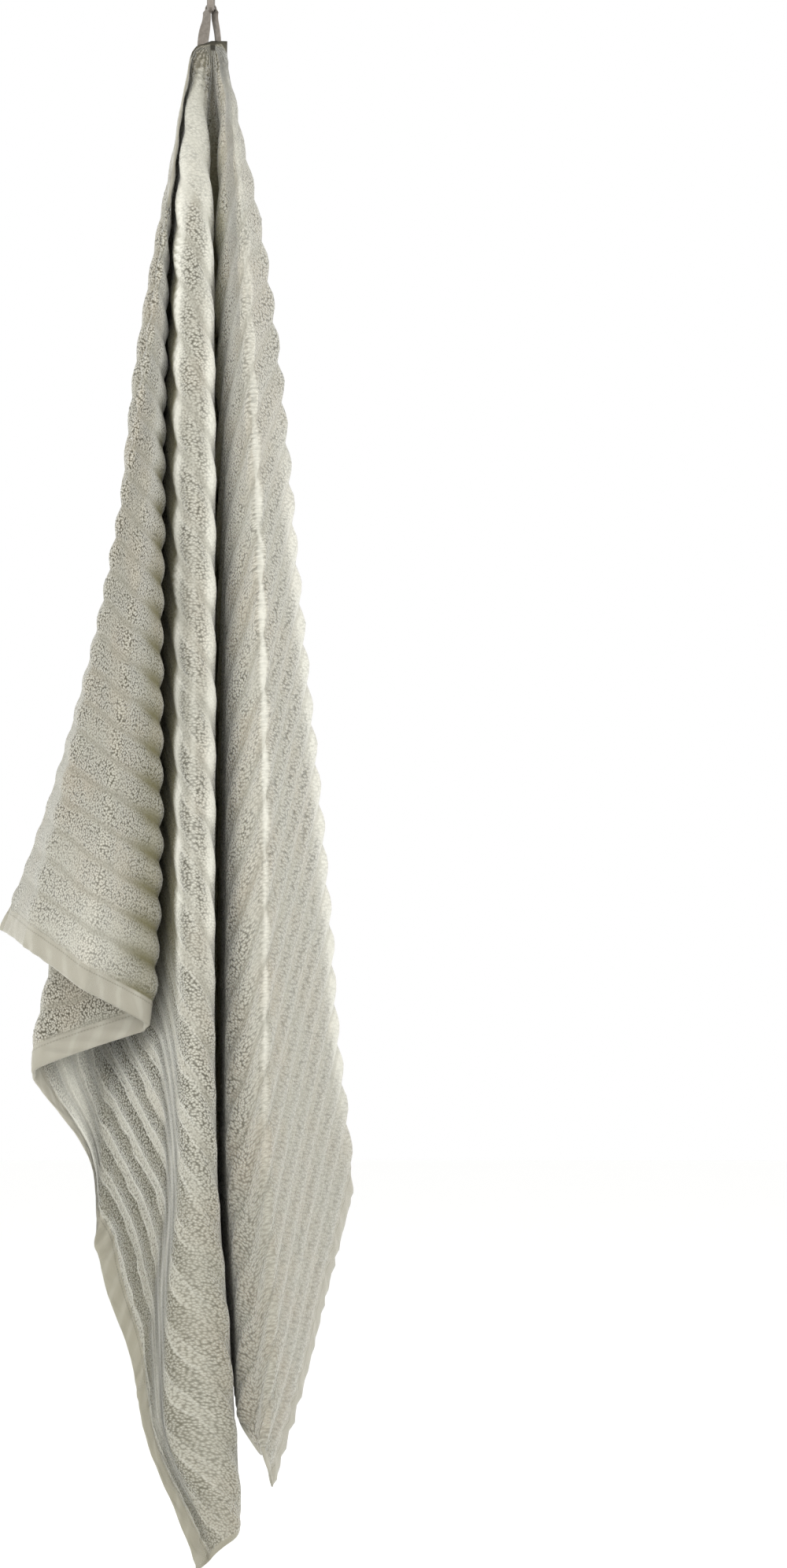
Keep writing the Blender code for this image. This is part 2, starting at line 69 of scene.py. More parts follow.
def placeCamera():
    scale = view["mmPerPixel"] * mm
    right = (view["width"] / 2 - view["hangingPixel"][0]) * scale
    down = (view["height"] / 2 - view["hangingPixel"][1]) * scale
    data = bpy.data.cameras.new("camera")
    data.sensor_width = view["sensor"]
    data.lens = view["sensor"] * view["distance"] / (view["height"] * scale)
    camera = bpy.data.objects.new("camera", data)
    camera.location = hangingPoint + Vector((right, -view["distance"], -down))
    camera.rotation_euler = (radians(90), 0, 0)
    bpy.context.collection.objects.link(camera)
    bpy.context.scene.camera = camera


placeCamera()
print("camera placed")


# Small helpers for node materials
def newMaterial(name):
    material = bpy.data.materials.new(name)
    material.use_nodes = True
    tree = material.node_tree
    return material, tree, tree.nodes["Principled BSDF"]


def setSockets(node, values):
    for name, value in values.items():
        node.inputs[name].default_value = value


def addNode(tree, kind, inputs=(), **settings):
    node = tree.nodes.new(kind)
    for key, value in settings.items():
        setattr(node, key, value)
    for key, value in dict(inputs).items():
        if isinstance(value, bpy.types.NodeSocket):
            tree.links.new(value, node.inputs[key])
        else:
            node.inputs[key].default_value = value
    return node


def maths(tree, operation, a, b=0.0):
    return addNode(tree, "ShaderNodeMath", {0: a, 1: b}, operation=operation).outputs[0]


def times(tree, value, *others):
    for other in others:
        value = maths(tree, "MULTIPLY", value, other)
    return value


def plus(tree, value, *others):
    for other in others:
        value = maths(tree, "ADD", value, other)
    return value


def minus(tree, a, b):
    return maths(tree, "SUBTRACT", a, b)


def largest(tree, value, *others):
    for other in others:
        value = maths(tree, "MAXIMUM", value, other)
    return value


def sineWave(tree, place, pitch):
    return maths(tree, "SINE", times(tree, place, 2 * pi / pitch))


def ramp(tree, value, low, high, lowTo=0.0, highTo=1.0):
    node = addNode(tree, "ShaderNodeMapRange", {0: value, 1: low, 2: high, 3: lowTo, 4: highTo},
                   interpolation_type="SMOOTHSTEP")
    return node.outputs[0]


def mixValues(tree, factor, a, b):
    return addNode(tree, "ShaderNodeMix", {0: factor, 2: a, 3: b}).outputs[0]


def mixColors(tree, factor, a, b):
    return addNode(tree, "ShaderNodeMix", {0: factor, 6: a, 7: b}, data_type="RGBA").outputs[2]


def layered(tree, color, *layers):  # colours laid over one another, each through its mask
    for mask, over in layers:
        color = mixColors(tree, mask, color, over)
    return color


def addBump(tree, shader, strength, depth, height):
    bump = addNode(tree, "ShaderNodeBump", {"Strength": strength, "Distance": depth, "Height": height})
    tree.links.new(bump.outputs[0], shader.inputs["Normal"])


floatSocket = "NodeSocketFloat"
vectorSocket = "NodeSocketVector"


def newGroup(name, inputs, outputs):
    group = bpy.data.node_groups.new(name, "ShaderNodeTree")
    for label, kind, value in inputs:
        socket = group.interface.new_socket(label, in_out="INPUT", socket_type=kind)
        socket.default_value = value
    for label, kind in outputs:
        group.interface.new_socket(label, in_out="OUTPUT", socket_type=kind)
    return group, group.nodes.new("NodeGroupInput").outputs, group.nodes.new("NodeGroupOutput").inputs


def makeGrain():  # speckle and its height, for pile, tape and worn metal
    inputs = (("Vector", vectorSocket, (0, 0, 0)), ("Scale", floatSocket, 200.0),
              ("Low", floatSocket, 0.4), ("High", floatSocket, 0.6))
    group, given, out = newGroup("grain", inputs, (("Mask", floatSocket), ("Height", floatSocket)))
    noise = addNode(group, "ShaderNodeTexNoise", {"Vector": given["Vector"], "Scale": given["Scale"],
                                                  "Detail": 2.0, "Roughness": 0.58})
    mask = ramp(group, noise.outputs[0], given["Low"], given["High"])
    group.links.new(mask, out["Mask"])
    group.links.new(noise.outputs[0], out["Height"])
    return group


def makeWeave():  # over and under threads of a plain weave
    inputs = (("Vector", vectorSocket, (0, 0, 0)), ("Threads", floatSocket, 900.0),
              ("Fullness", floatSocket, 0.7))
    group, given, out = newGroup("plain weave", inputs, (("Mask", floatSocket), ("Height", floatSocket)))
    parts = addNode(group, "ShaderNodeSeparateXYZ", {0: given["Vector"]})
    wave = times(group, given["Threads"], pi)
    along = maths(group, "SINE", times(group, parts.outputs[0], wave))
    down = maths(group, "SINE", times(group, parts.outputs[1], wave))
    over = maths(group, "GREATER_THAN", times(group, along, down), 0.0)
    warp = times(group, maths(group, "ABSOLUTE", along), over)
    weft = times(group, maths(group, "ABSOLUTE", down), minus(group, 1.0, over))
    height = maths(group, "POWER", plus(group, warp, weft), given["Fullness"])
    group.links.new(height, out["Height"])
    group.links.new(minus(group, 1.0, height), out["Mask"])
    return group


grainGroup = makeGrain()
weaveGroup = makeWeave()


def grain(tree, place, scale, low=0.4, high=0.6):
    node = addNode(tree, "ShaderNodeGroup", node_tree=grainGroup)
    tree.links.new(place, node.inputs["Vector"])
    setSockets(node, {"Scale": scale, "Low": low, "High": high})
    return node.outputs["Mask"], node.outputs["Height"]


def weave(tree, place, threads, fullness=0.7):
    node = addNode(tree, "ShaderNodeGroup", node_tree=weaveGroup)
    tree.links.new(place, node.inputs["Vector"])
    setSockets(node, {"Threads": threads, "Fullness": fullness})
    return node.outputs["Mask"], node.outputs["Height"]


# The towel. Sizes in cm of flat cloth
towel = {
    "longSide": 150.0,
    "shortSide": 100.0,
    "hemBand": 1.8,  # the flat band along each short side
    "ribsPerHalf": 28,
    "valleyThickness": 0.22,
    "hemThickness": 0.30,
    "faceRise": 0.25,  # how far a rib stands proud on the face that shows on the flap
    "backRise": 0.15,
    "foldPuff": 0.9,  # how much prouder the ribs stand where the cloth bends away under them
    "foldPinch": 0.55,  # and how much they are pressed flat inside a fold
    "ribFullness": 0.62,  # under 1 the ribs are broad with narrow valleys between
    "ribUneven": 0.14,
    "ribUnevenScale": (3, 0.6),  # across and down: over 1 it changes over shorter lengths
    "ribsFrom": 0.6,  # the share of the selvedge at which the ribs begin
    "thickEdge": 0.3,  # and the share of their height that they have where its thick edge ends
    "topThinning": 0.4,  # the share of its thickness that the cloth keeps under the loop
    "fullFrom": 28.0,  # how far down it is as thick as ever
    "selvedge": 0.45,  # the smooth strip along each long side
    "rimWidth": 0.16,  # how far in the cloth's edges are rounded
    "rimThinness": 0.12,  # the square of the share of its thickness that is left at the very edge
    "rounding": 0.7,  # how broadly a fold is rounded near the loop
    "fullRounding": 150.0,  # how far down it is rounded twice as broadly
    "leastDistance": 0.05,  # so that nothing is divided by 0 at the loop
    "roundingSteps": 9,
    "roundingPeak": 1.02,  # just over 1, so that the outermost steps count as well
    "noseStart": 5.0,  # how far down the doubled folds begin to open
    "gathered": 18.0,  # and where they are open
    "linesPerRib": 6,
    "hemLines": (0.82, 0.62, 0.3, 0.08, 0.0),  # shares of the hem's band, from its outer edge
    "rows": 140,
    "rowSamples": 1601,
    "foldRows": 2.4,  # how many more rows for each cm lie on a fold than between folds
    "foldWidth": 1.3,
    "foldRowsFrom": 3.0,  # half as many of those so far down, and fewer above, where the folds meet
    "foldRowsLeast": 0.1,
    "topRows": 0.9,  # more rows near the loop, over how many cm
    "topRowsReach": 9.0,
    "edgeRows": 5.0,  # more rows beside a long edge: how many, how far in and how wide
    "edgeRowsAt": 0.3,
    "edgeRowsWidth": 0.5,
    "bendReach": 0.9,  # how far to either side the bend is measured
    "bendStart": 3.0,
    "flareWidth": 7.0,  # how far in from the left short side its hem stands out of the folds
    "flareForward": 0.8,  # its step forward for each step left
    "pucker": 0.10,  # how far the hems are drawn in and out along their stitches
    "puckerPitch": 1.55,
    "puckerSlant": 0.35,
    "puckerWander": 2.2,
    "puckerUneven": 2,
    "puckerOnHem": 1.5,  # over 1, so that it is full over most of the hem
    "puckerFade": 0.6,  # how much of that is lost for each breadth of the hem's band
    "linesFrom": 15.0,  # how far down the lines of drawn cloth begin, and over how many cm
    "linesOver": 40.0,
    "riseFrom": 62.0,  # and the change of their ribs
    "riseOver": 20.0,
    "markFade": 12.0,  # over how many cm a place of painted light or painted shade ends at its near and far ends
    "shadeFade": 10.0,
}
halfLong = towel["longSide"] / 2
ribPitch = (halfLong - towel["hemBand"]) / towel["ribsPerHalf"]
hair = 0.01  # cm, so that rounding can't tip the line of the mesh that lies on the hem's edge
# A soft unevenness, of waves laid askew: their number, and how their slant, length and shift change
unevenness = {"waves": 4, "slant": 2.4, "slantStep": 1.9, "length": 7.0, "lengthStep": 5.3, "shift": 1.7}

# The drape, fold by fold. It follows the solids, with one more fold, the left wall, that slants the ribs.
# turn: the fold's ray on the flat cloth, in degrees from the left edge. aside: how far beside it the fold
# runs. nose: the step right and back where the cloth doubles back. reach: the share of the ray's length at
# which it hangs. depth: how far behind the hanging point, at each of depthLevels. across: how far to its
# right, at each of levels. Both are 0 at the first level, the loop, and start at the second, and a row's
# last value holds for all further levels. All lengths in cm.
levels = (0, 1.3, 4, 12, 24, 48, 76, 86, 94, 104, 112, 124)
depthLevels = (0, 1.3, 4, 12, 24, 48, 76, 84, 94, 104)
foldColumns = ("name", "turn", "aside", "nose", "reach", "depth", "across")
foldRows = (
    ("left edge", 0, 0, (0, 0), 0.998, (-0.25, -0.9, -2.3, -4.0, -6.4, -5.0),
     (-1.2, -1.95, -3.1, -4.75, -8.6, -17.4, -22.0)),
    ("flap swell", 7.5, 0, (0, 0), 1.008, (-0.15, -0.5, -2.1, -5.2, -9.4, -10.4),
     (-1.25, -2.0, -3.15, -4.7, -8.5, -14.9, -17.5)),
    ("flap crown", 14, 0, (0, 0), 1.024, (0.0, -0.1, -1.4, -4.3, -10.2, -13.2),
     (-1.25, -2.0, -3.2, -4.1, -6.3, -9.9, -12.0)),
    ("flap fold", 20.8, 0, (0, 1.1), 1.012, (0.1, 0.3, -0.3, -2.1, -6.8, -9.4),
     (-1.2, -2.0, -3.25, -3.8, -4.1, -4.5, -5.4)),
    ("left fold", 29.2, 0, (0, 1.1), 1.0, (0.15, 0.65, 0.7, -0.3, -4.0, -7.4),
     (-1.1, -1.85, -3.5, -5.55, -8.1, -12.6, -14.3, -10.1)),
    ("left valley", 41, 0, (1.0, 0), 1.0, (0.1, 0.5, 1.5, 2.3, 2.8, 1.4, -4.2, -7.0, -7.6),
     (-1.0, -1.6, -2.95, -3.9, -5.9, -7.9, -8.4, -8.4, -8.0, -5.1, -3.2)),
    ("left wall", 47, 0, (0, 0), 1.0, (-0.14, -0.4, -1.47, -1.8, -2.15, -5.8, -8.8, -9.7, -9.8),
     (-0.93, -1.5, -2.47, -3.11, -4.16, -4.6, -3.6, -3.3, -4.4, -4.35, -1.46)),
    ("left column, outer", 54.5, -1.5, (0, 0), 1.0, (-0.25, -0.8, -2.8, -4.4, -6.9, -10.6),
     (-0.9, -1.6, -2.4, -2.6, -2.5, -2.4, -2.35, -2.4, -3.3, -3.5, 1.3)),
    ("left column, front", 54.5, 0, (0, 0), 1.0, (-0.4, -1.1, -3.2, -5.2, -8.0, -11.7),
     (-0.6, -1.15, -1.2, -1.3, -1.25, -1.2, -1.05, -0.9, -0.8, -0.5, 2.0)),
    ("left column, inner", 54.5, 1.5, (0, 0), 1.003, (-0.4, -0.9, -2.6, -4.4, -7.0, -10.6),
     (-0.25, -0.75, -0.2, 0.0, 0.15, 0.15, 0.2, 0.45, 1.25, 1.80, 2.7)),
    ("left inner wall", 66.5, 0, (-1.0, 0), 0.995, (-0.2, 0.0, -0.1, 0.5, 1.3, 2.2),
     (-0.1, -0.4, -0.4, -0.55, -0.6, -0.6, -0.5, -0.4, 0.2, 0.6)),
    ("left hidden fold", 74.5, 0, (-1.0, 0), 0.985, (-0.1, 0.3, 0.6, -2.0, -4.2, -7.0),
     (0.0, -0.3, -0.8, -1.4, -1.9, -2.2, -2.2, -2.2, -1.6)),
    ("left back", 83.5, 0, (0.3, 1.0), 0.97, (0, 0.7, 1.4, 1.9, 2.7, 3.5),
     (0.0, -0.2, -1.2, -2.3, -4.0, -5.2, -5.2, -5.2, -5.1)),
    ("middle", 90, 0, (0, 0), 0.968, (0.1, 0.9, 2.0, 2.8, 3.7, 4.3),
     (0.1, 0.1, 0.1, 0.3, 0.5, 0.6, 0.7, 0.9, 1.2)),
    ("right back", 96.5, 0, (-0.3, -1.0), 0.97, (0, 0.7, 1.5, 2.0, 3.0, 3.7),
     (0.2, 0.35, 1.4, 2.5, 4.0, 5.3, 5.3, 5.3, 5.2)),
    ("right hidden fold", 105, 0, (-1.0, 0), 0.98, (-0.1, 0.3, 0.8, -1.6, -4.0, -6.8),
     (0.25, 0.5, 1.5, 2.6, 3.6, 4.3, 4.3, 4.3, 4.3)),
    ("right inner wall", 113, 0, (-1.0, 0), 0.985, (-0.2, 0, -0.1, 0.5, 1.5, 2.4),
     (0.3, 0.6, 0.85, 1.05, 1.25, 1.3, 1.3, 1.35, 1.6, 2.0)),
    ("right column, inner", 124, -2.2, (0, 0), 0.95, (-0.3, -0.8, -1.9, -3.0, -4.8, -8.2, -8.8, -9.4, -9.6),
     (0.35, 0.9, 1.0, 1.4, 1.7, 1.8, 1.75, 1.75, 2.2, 2.6)),
    ("right column, front", 124, 0, (0, 0), 0.96, (-0.4, -1.1, -2.8, -4.4, -6.8, -10.4),
     (0.6, 1.3, 1.85, 2.25, 2.85, 3.05, 3.1, 3.2, 3.7, 4.0, 4.4)),
    ("right column, outer", 124, 2.2, (0, 0), 0.944, (-0.3, -1.0, -3.0, -4.9, -8.2, -11.8),
     (0.9, 1.65, 2.45, 3.1, 4.2, 4.6, 4.6, 4.6, 4.9, 5.15, 4.15)),
    ("right fold", 139.5, 0, (-0.9, 0.4), 0.956, (0.1, 0.2, 0.5, 0.7, 1.3, 2.2),
     (0.8, 1.4, 3.0, 4.6, 6.7, 9.2, 9.85, 10.7, 11.55, 11.65, 12.0)),
    ("right tuck", 148.5, 0, (-0.9, 0.4), 0.956, (0.1, 0.4, 1.3, 0.2, -0.3, -3.2),
     (0.9, 1.45, 2.6, 3.7, 5.1, 6.6, 6.9)),
    ("back knee", 157.5, 0, (0, 0), 0.96, (0.15, 0.8, 2.2, 3.4, 4.6, 5.4),
     (1.0, 1.5, 2.4, 4.2, 6.2, 8.1, 8.3)),
    ("back turn", 169, 0, (0, 0), 0.98, (0.25, 1.2, 2.8, 3.9, 5.3, 6.1),
     (1.05, 1.3, 0.4, -2.0, -5.0, -7.0, -7.2)),
    ("right edge", 180, 0, (0, 0), 1.0, (0.3, 1.5, 3.1, 4.3, 5.3, 5.5),
     (1.3, 0.95, -1.2, -3.8, -8.4, -13.4, -14)),
)
folds = [dict(zip(foldColumns, row)) for row in foldRows]
# How far to the left the left hem's lower half stands out of the folds, at each of flareLevels
flareLevels = (0, 97, 101, 104, 112, 118, 124)
flareLeft = (0, 0, 1.28, 1.65, 1.32, 1.2, 2.0)


def smoothThrough(places, values, at):  # a smooth curve through a row's values
    places = np.asarray(places, float)
    values = np.asarray(tuple(values) + (values[-1],) * (len(places) - len(values)), float)
    steps = np.diff(places)
    slopes = np.diff(values) / steps
    inner = (slopes[:-1] * steps[1:] + slopes[1:] * steps[:-1]) / (steps[1:] + steps[:-1])
    inner *= slopes[:-1] * slopes[1:] > 0  # level where the values turn back, so that no curve overshoots
    tangents = np.concatenate([slopes[:1], inner, slopes[-1:]])
    cell = np.clip(np.searchsorted(places, at) - 1, 0, len(places) - 2)
    wide = steps[cell]
    t = np.clip((at - places[cell]) / wide, 0, 1)
    return ((2 * t**3 - 3 * t**2 + 1) * values[cell] + (t**3 - 2 * t**2 + t) * wide * tangents[cell]
            + (3 * t**2 - 2 * t**3) * values[cell + 1] + (t**3 - t**2) * wide * tangents[cell + 1])


def fadeIn(values, start, over):
    return np.clip((values - start) / over, 0, 1)


def fadeOut(values, end, over):
    return np.clip((end - values) / over, 0, 1)


def turnAndDistance(across, down):  # from the loop, of a place of the flat cloth
    return np.degrees(np.arctan2(down, -across)), np.hypot(across, down)


def turnBeside(turn, aside, distance):
    return turn + np.degrees(aside / np.maximum(distance, towel["gathered"]))


def cornersAt(distance):  # the cross-section's corners: turns, and places right and back, and reaches
    opened = fadeIn(distance, towel["noseStart"], towel["gathered"] - towel["noseStart"])
    corners = []
    for fold in folds:
        right = smoothThrough(levels, (0,) + fold["across"], distance)
        back = smoothThrough(depthLevels, (0,) + fold["depth"], distance)
        stepRight, stepBack = fold["nose"]
        for side in (-0.5, 0.5) if any(fold["nose"]) else (0,):
            aside = fold["aside"] + side * hypot(stepRight, stepBack)
            corners.append((turnBeside(fold["turn"], aside, distance), right + side * stepRight * opened,
                            back + side * stepBack * opened, np.full_like(distance, fold["reach"])))
    return [np.stack(part, axis=-1) for part in zip(*corners)]


def hang(across, down):  # where a place of the flat cloth hangs, in cm from the hanging point
    turn, distance = turnAndDistance(across, down)
    distance = np.maximum(distance, towel["leastDistance"])
    turns, rights, backs, reaches = cornersAt(distance)
    spans = np.diff(turns, axis=-1)
    steps = [np.diff(part, axis=-1) for part in (rights, backs, reaches)]
    low = np.zeros(spans.shape[-1])
    high = np.ones(spans.shape[-1])
    low[0], high[-1] = -np.inf, np.inf
    offsets = np.linspace(-1, 1, towel["roundingSteps"])
    weights = towel["roundingPeak"] - np.abs(offsets)
    weights /= weights.sum()
    rounding = towel["rounding"] * (1 + distance / towel["fullRounding"])
    spread = np.degrees(rounding / np.maximum(distance, towel["rounding"]))
    share = np.zeros_like(spans)
    for offset, weight in zip(offsets, weights):
        place = (turn + offset * spread)[..., None]
        share += weight * np.clip((place - turns[..., :-1]) / spans, low, high)
    right, back, reach = (part[..., 0] + (share * step).sum(axis=-1)
                          for part, step in zip((rights, backs, reaches), steps))
    flare = smoothThrough(flareLevels, flareLeft, distance)
    flare = flare * np.clip(1 - (halfLong + across) / towel["flareWidth"], 0, 1) ** 2
    right, back = right - flare, back - towel["flareForward"] * flare
    drop = np.sqrt(np.maximum((reach * distance) ** 2 - right**2 - back**2, 0))
    return np.stack([right, back, -drop], axis=-1)


def ribHeight(across):  # 0 in a valley, 1 on a rib
    wave = np.sin(pi * across / ribPitch) ** 2
    return np.where(np.abs(across) < halfLong - towel["hemBand"] - hair, wave ** towel["ribFullness"], 0)


# Where the cloth is drawn together between two folds its ribs stand in sharp rows, with painted highlights in
# lines
# beside them: from and to which turn, over how many degrees that fades, how strong the lines are, and how
# much more the ribs rise
drawnColumns = ("low", "high", "fade", "lines", "rise")
drawnRows = (
    (31, 49, 3, 1.0, 0.9),
    (45, 55.2, 2, 1.0, -0.6),
    (126.5, 140, 3, 0.28, -0.15),
)
drawnPlaces = [dict(zip(drawnColumns, row)) for row in drawnRows]
# Painted shade on cloth that lies in a fold or in another layer's shadow: from and to which turn, and how far
# in cm beside each, over how many degrees that fades, from and to which distance, how strongly, and the share
# of that on top of a rib
shadedColumns = ("low", "lowAside", "high", "highAside", "fade", "near", "far", "strength", "onRibs")
shadedRows = (
    (15.8, 0, 23.5, 0, 3.2, 22, 88, 0.92, 0.42),  # the flap beside its right fold
    (126.3, 0, 135.0, 0, 2.0, 30, 100, 0.06, 1.0),  # the panel beside the right column
    (31.0, 0, 54.5, -1.48, 0.4, 9, 83, 0.88, 1.0),  # between the flap and the left column
    (36.0, 0, 62.0, 0, 3.0, 88, 145, 0.14, 1.0),  # the low left part
)
shadedPlaces = [dict(zip(shadedColumns, row)) for row in shadedRows]
# Painted light: painted highlights on the edges where a fold's cloth turns away, and lighter places that
# stand in for light: its turn, how far beside it and how wide in cm, how strong, and from and to which
# distance
paintedLightColumns = ("turn", "aside", "width", "strength", "near", "far")
paintedLightRows = (
    (54.5, -1.38, 0.42, 0.92, 6, 82),  # the left column's edges
    (54.5, 1.40, 0.60, 0.78, 6, 82),
    (124, 2.25, 0.20, 0.45, 6, 100),  # the crisp edge of the right column
    (124, 1.3, 0.9, 0.22, 6, 100),
    (139.5, -1.5, 1.95, 0.56, 30, 100),  # the panel's right fold
    (18.0, 0, 1.4, 0.50, 8, 40),  # the flap near the top
    (13.5, 0, 8.0, 0.28, 62, 110),  # and low down
    (36.0, 0, 5.0, 0.50, 60, 101),  # just below the flap
    (50.5, 0, 2.2, 0.42, 80, 124),  # where the cloth bends back beside the left column
)
paintedLightPlaces = [dict(zip(paintedLightColumns, row)) for row in paintedLightRows]


def drawnTogether(across, down):  # how strong the lines are, and how much the ribs rise, at each place
    turn, distance = turnAndDistance(across, down)
    lines = np.zeros_like(turn)
    rise = np.ones_like(turn)
    linesHere = fadeIn(distance, towel["linesFrom"], towel["linesOver"])
    riseHere = fadeIn(distance, towel["riseFrom"], towel["riseOver"])
    for place in drawnPlaces:
        here = fadeIn(turn, place["low"], place["fade"]) * fadeOut(turn, place["high"], place["fade"])
        lines = np.maximum(lines, place["lines"] * here * linesHere)
        rise += place["rise"] * here * riseHere
    return lines, rise


# painted shade for each place of the flat cloth
def shadedAt(across, down):
    turn, distance = turnAndDistance(across, down)
    shade = np.zeros_like(turn)
    for place in shadedPlaces:
        low = turnBeside(place["low"], place["lowAside"], distance)
        high = turnBeside(place["high"], place["highAside"], distance)
        here = np.clip(np.minimum(turn - low, high - turn) / place["fade"], 0, 1)
        here *= (fadeIn(distance, place["near"], towel["markFade"])
                 * fadeOut(distance, place["far"], towel["shadeFade"]))
        here *= 1 - (1 - place["onRibs"]) * ribHeight(across)
        shade = np.maximum(shade, place["strength"] * here)
    return shade


# painted light for each place of the flat cloth
def paintedLightAt(across, down):
    turn, distance = turnAndDistance(across, down)
    pale = np.zeros_like(turn)
    for place in paintedLightPlaces:
        beside = np.radians(turn - turnBeside(place["turn"], place["aside"], distance)) * distance
        edge = place["strength"] * np.exp(-(beside / place["width"]) ** 2)
        edge *= (fadeIn(distance, place["near"], towel["markFade"])
                 * fadeOut(distance, place["far"], towel["markFade"]))
        pale = np.maximum(pale, edge)
    return pale


def clothLines():  # the places of the mesh's lines along the long side
    step = ribPitch / towel["linesPerRib"]
    ribLines = np.arange(1, towel["ribsPerHalf"] * towel["linesPerRib"] + 1) * step
    hemLines = halfLong - towel["hemBand"] * np.array(towel["hemLines"])
    half = np.concatenate([ribLines, hemLines])
    return np.concatenate([-half[::-1], [0.0], half])


def clothRows(across):  # for each line, the places of its rows down the cloth, closer together on folds
    fine = np.linspace(0, towel["shortSide"], towel["rowSamples"])
    places = np.empty((len(across), towel["rows"]))
    for index, place in enumerate(across):
        turn, distance = turnAndDistance(place, fine)
        density = np.full_like(fine, 1.0) + towel["topRows"] * np.exp(-distance / towel["topRowsReach"])
        edge = np.minimum(fine, towel["shortSide"] - fine)
        density += towel["edgeRows"] * np.exp(-((edge - towel["edgeRowsAt"]) / towel["edgeRowsWidth"]) ** 2)
        for fold in folds:
            aside = np.radians(turn - fold["turn"]) * np.maximum(distance, towel["gathered"]) - fold["aside"]
            onFold = towel["foldRows"] * np.exp(-(aside / towel["foldWidth"]) ** 2)
            density += onFold / (1 + towel["foldRowsFrom"] / (distance + towel["foldRowsLeast"]))
        total = np.concatenate([[0], np.cumsum((density[1:] + density[:-1]) / 2)])
        places[index] = np.interp(np.linspace(0, total[-1], towel["rows"]), total, fine)
    return places


def gently(across, down, seed):  # from -1 to 1, and the same each run
    value = np.zeros_like(across)
    for step in range(1, unevenness["waves"] + 1):
        angle = seed * unevenness["slant"] + step * unevenness["slantStep"]
        wave = 2 * pi / (unevenness["length"] + unevenness["lengthStep"] * step)
        shift = seed * step * unevenness["shift"]
        value += np.sin(wave * (across * cos(angle) + down * sin(angle)) + shift)
    return value / unevenness["waves"]


def bendAt(across, down, middle, out):  # how far the cloth bends away behind its face, for each cm
    turn, distance = turnAndDistance(across, down)
    turnStep = np.degrees(towel["bendReach"] / np.maximum(distance, towel["bendStart"]))
    sides = [hang(-distance * np.cos(np.radians(turn + side * turnStep)),
                  distance * np.sin(np.radians(turn + side * turnStep))) for side in (-1, 1)]
    return -((sides[0] + sides[1] - 2 * middle) * out).sum(axis=-1) / towel["bendReach"]


def puckerAt(across, down):  # how far the hems are drawn in and out
    fromHem = halfLong - np.abs(across)
    nearHem = np.clip(towel["puckerOnHem"] - fromHem / towel["hemBand"] * towel["puckerFade"], 0, 1)
    along = 2 * pi * (down + towel["puckerSlant"] * fromHem) / towel["puckerPitch"]
    wander = towel["puckerWander"] * gently(across, down, seed=2.0)
    uneven = gently(across * towel["puckerUneven"], down * towel["puckerUneven"], seed=3.0)
    return towel["pucker"] * nearHem * np.sin(along + wander) * (1 + uneven)


def coreAt(across, down):  # half the cloth's thickness without its ribs, and where the ribs may stand
    edge = np.minimum(down, towel["shortSide"] - down)
    ribbed = np.clip(edge / towel["selvedge"] - towel["ribsFrom"], 0, 1)
    hem = np.abs(across) > halfLong - towel["hemBand"] + hair
    thick = hem | (ribbed < towel["thickEdge"])
    core = np.where(thick, towel["hemThickness"], towel["valleyThickness"]) / 2
    rims = np.minimum(np.minimum(edge, halfLong - np.abs(across)) / towel["rimWidth"], 1)
    return core * np.sqrt(np.clip(1 - (1 - rims) ** 2, towel["rimThinness"], 1)), ribbed


def towelFaces():  # the two faces of the cloth, as grids of points in cm from the hanging point
    lines = clothLines()
    down = clothRows(lines)
    across = np.repeat(lines[:, None], towel["rows"], axis=1)
    middle = hang(across, down)
    out = np.cross(np.gradient(middle, axis=1), np.gradient(middle, axis=0))
    out /= np.maximum(np.linalg.norm(out, axis=-1, keepdims=True), 1e-9)
    bend = bendAt(across, down, middle, out)
    puff = np.clip(bend, 0, 1)
    squeeze = np.clip(-bend, 0, 1)
    distance = np.hypot(across, down)
    fullness = np.minimum(1, towel["topThinning"] + (1 - towel["topThinning"]) * distance / towel["fullFrom"])
    core, ribbed = coreAt(across, down)
    drawn, drawnRise = drawnTogether(across, down)
    acrossScale, downScale = towel["ribUnevenScale"]
    uneven = 1 + towel["ribUneven"] * gently(across * acrossScale, down * downScale, seed=1.0)
    ribs = ribHeight(across) * ribbed * uneven * drawnRise
    middle = middle + out * puckerAt(across, down)[..., None]
    faces = []
    for rise, swell, pinch, side in ((towel["faceRise"], puff, squeeze, 1),
                                     (towel["backRise"], squeeze, puff, -1)):
        raised = rise * ribs * (1 + towel["foldPuff"] * swell) * (1 - towel["foldPinch"] * pinch)
        faces.append(middle + out * (side * (core + raised) * fullness)[..., None])
    # the painted shade and painted light that the material lays on go with the mesh
    marks = {"bend": bend, "drawn": drawn, "shaded": shadedAt(across, down), "pale": paintedLightAt(across, down),
             "front": np.ones_like(bend)}
    return across, down, faces, marks


def newObject(name, points, faceList, uvs=None):
    mesh = bpy.data.meshes.new(name)
    mesh.from_pydata(points, [], faceList)
    mesh.update()
    if uvs is not None:
        layer = mesh.uv_layers.new(name="cloth")
        corners = np.empty(len(mesh.loops), np.int32)
        mesh.loops.foreach_get("vertex_index", corners)
        layer.data.foreach_set("uv", np.asarray(uvs, np.float32)[corners].ravel())
    mesh.shade_smooth()
    thing = bpy.data.objects.new(name, mesh)
    bpy.context.collection.objects.link(thing)
    return thing


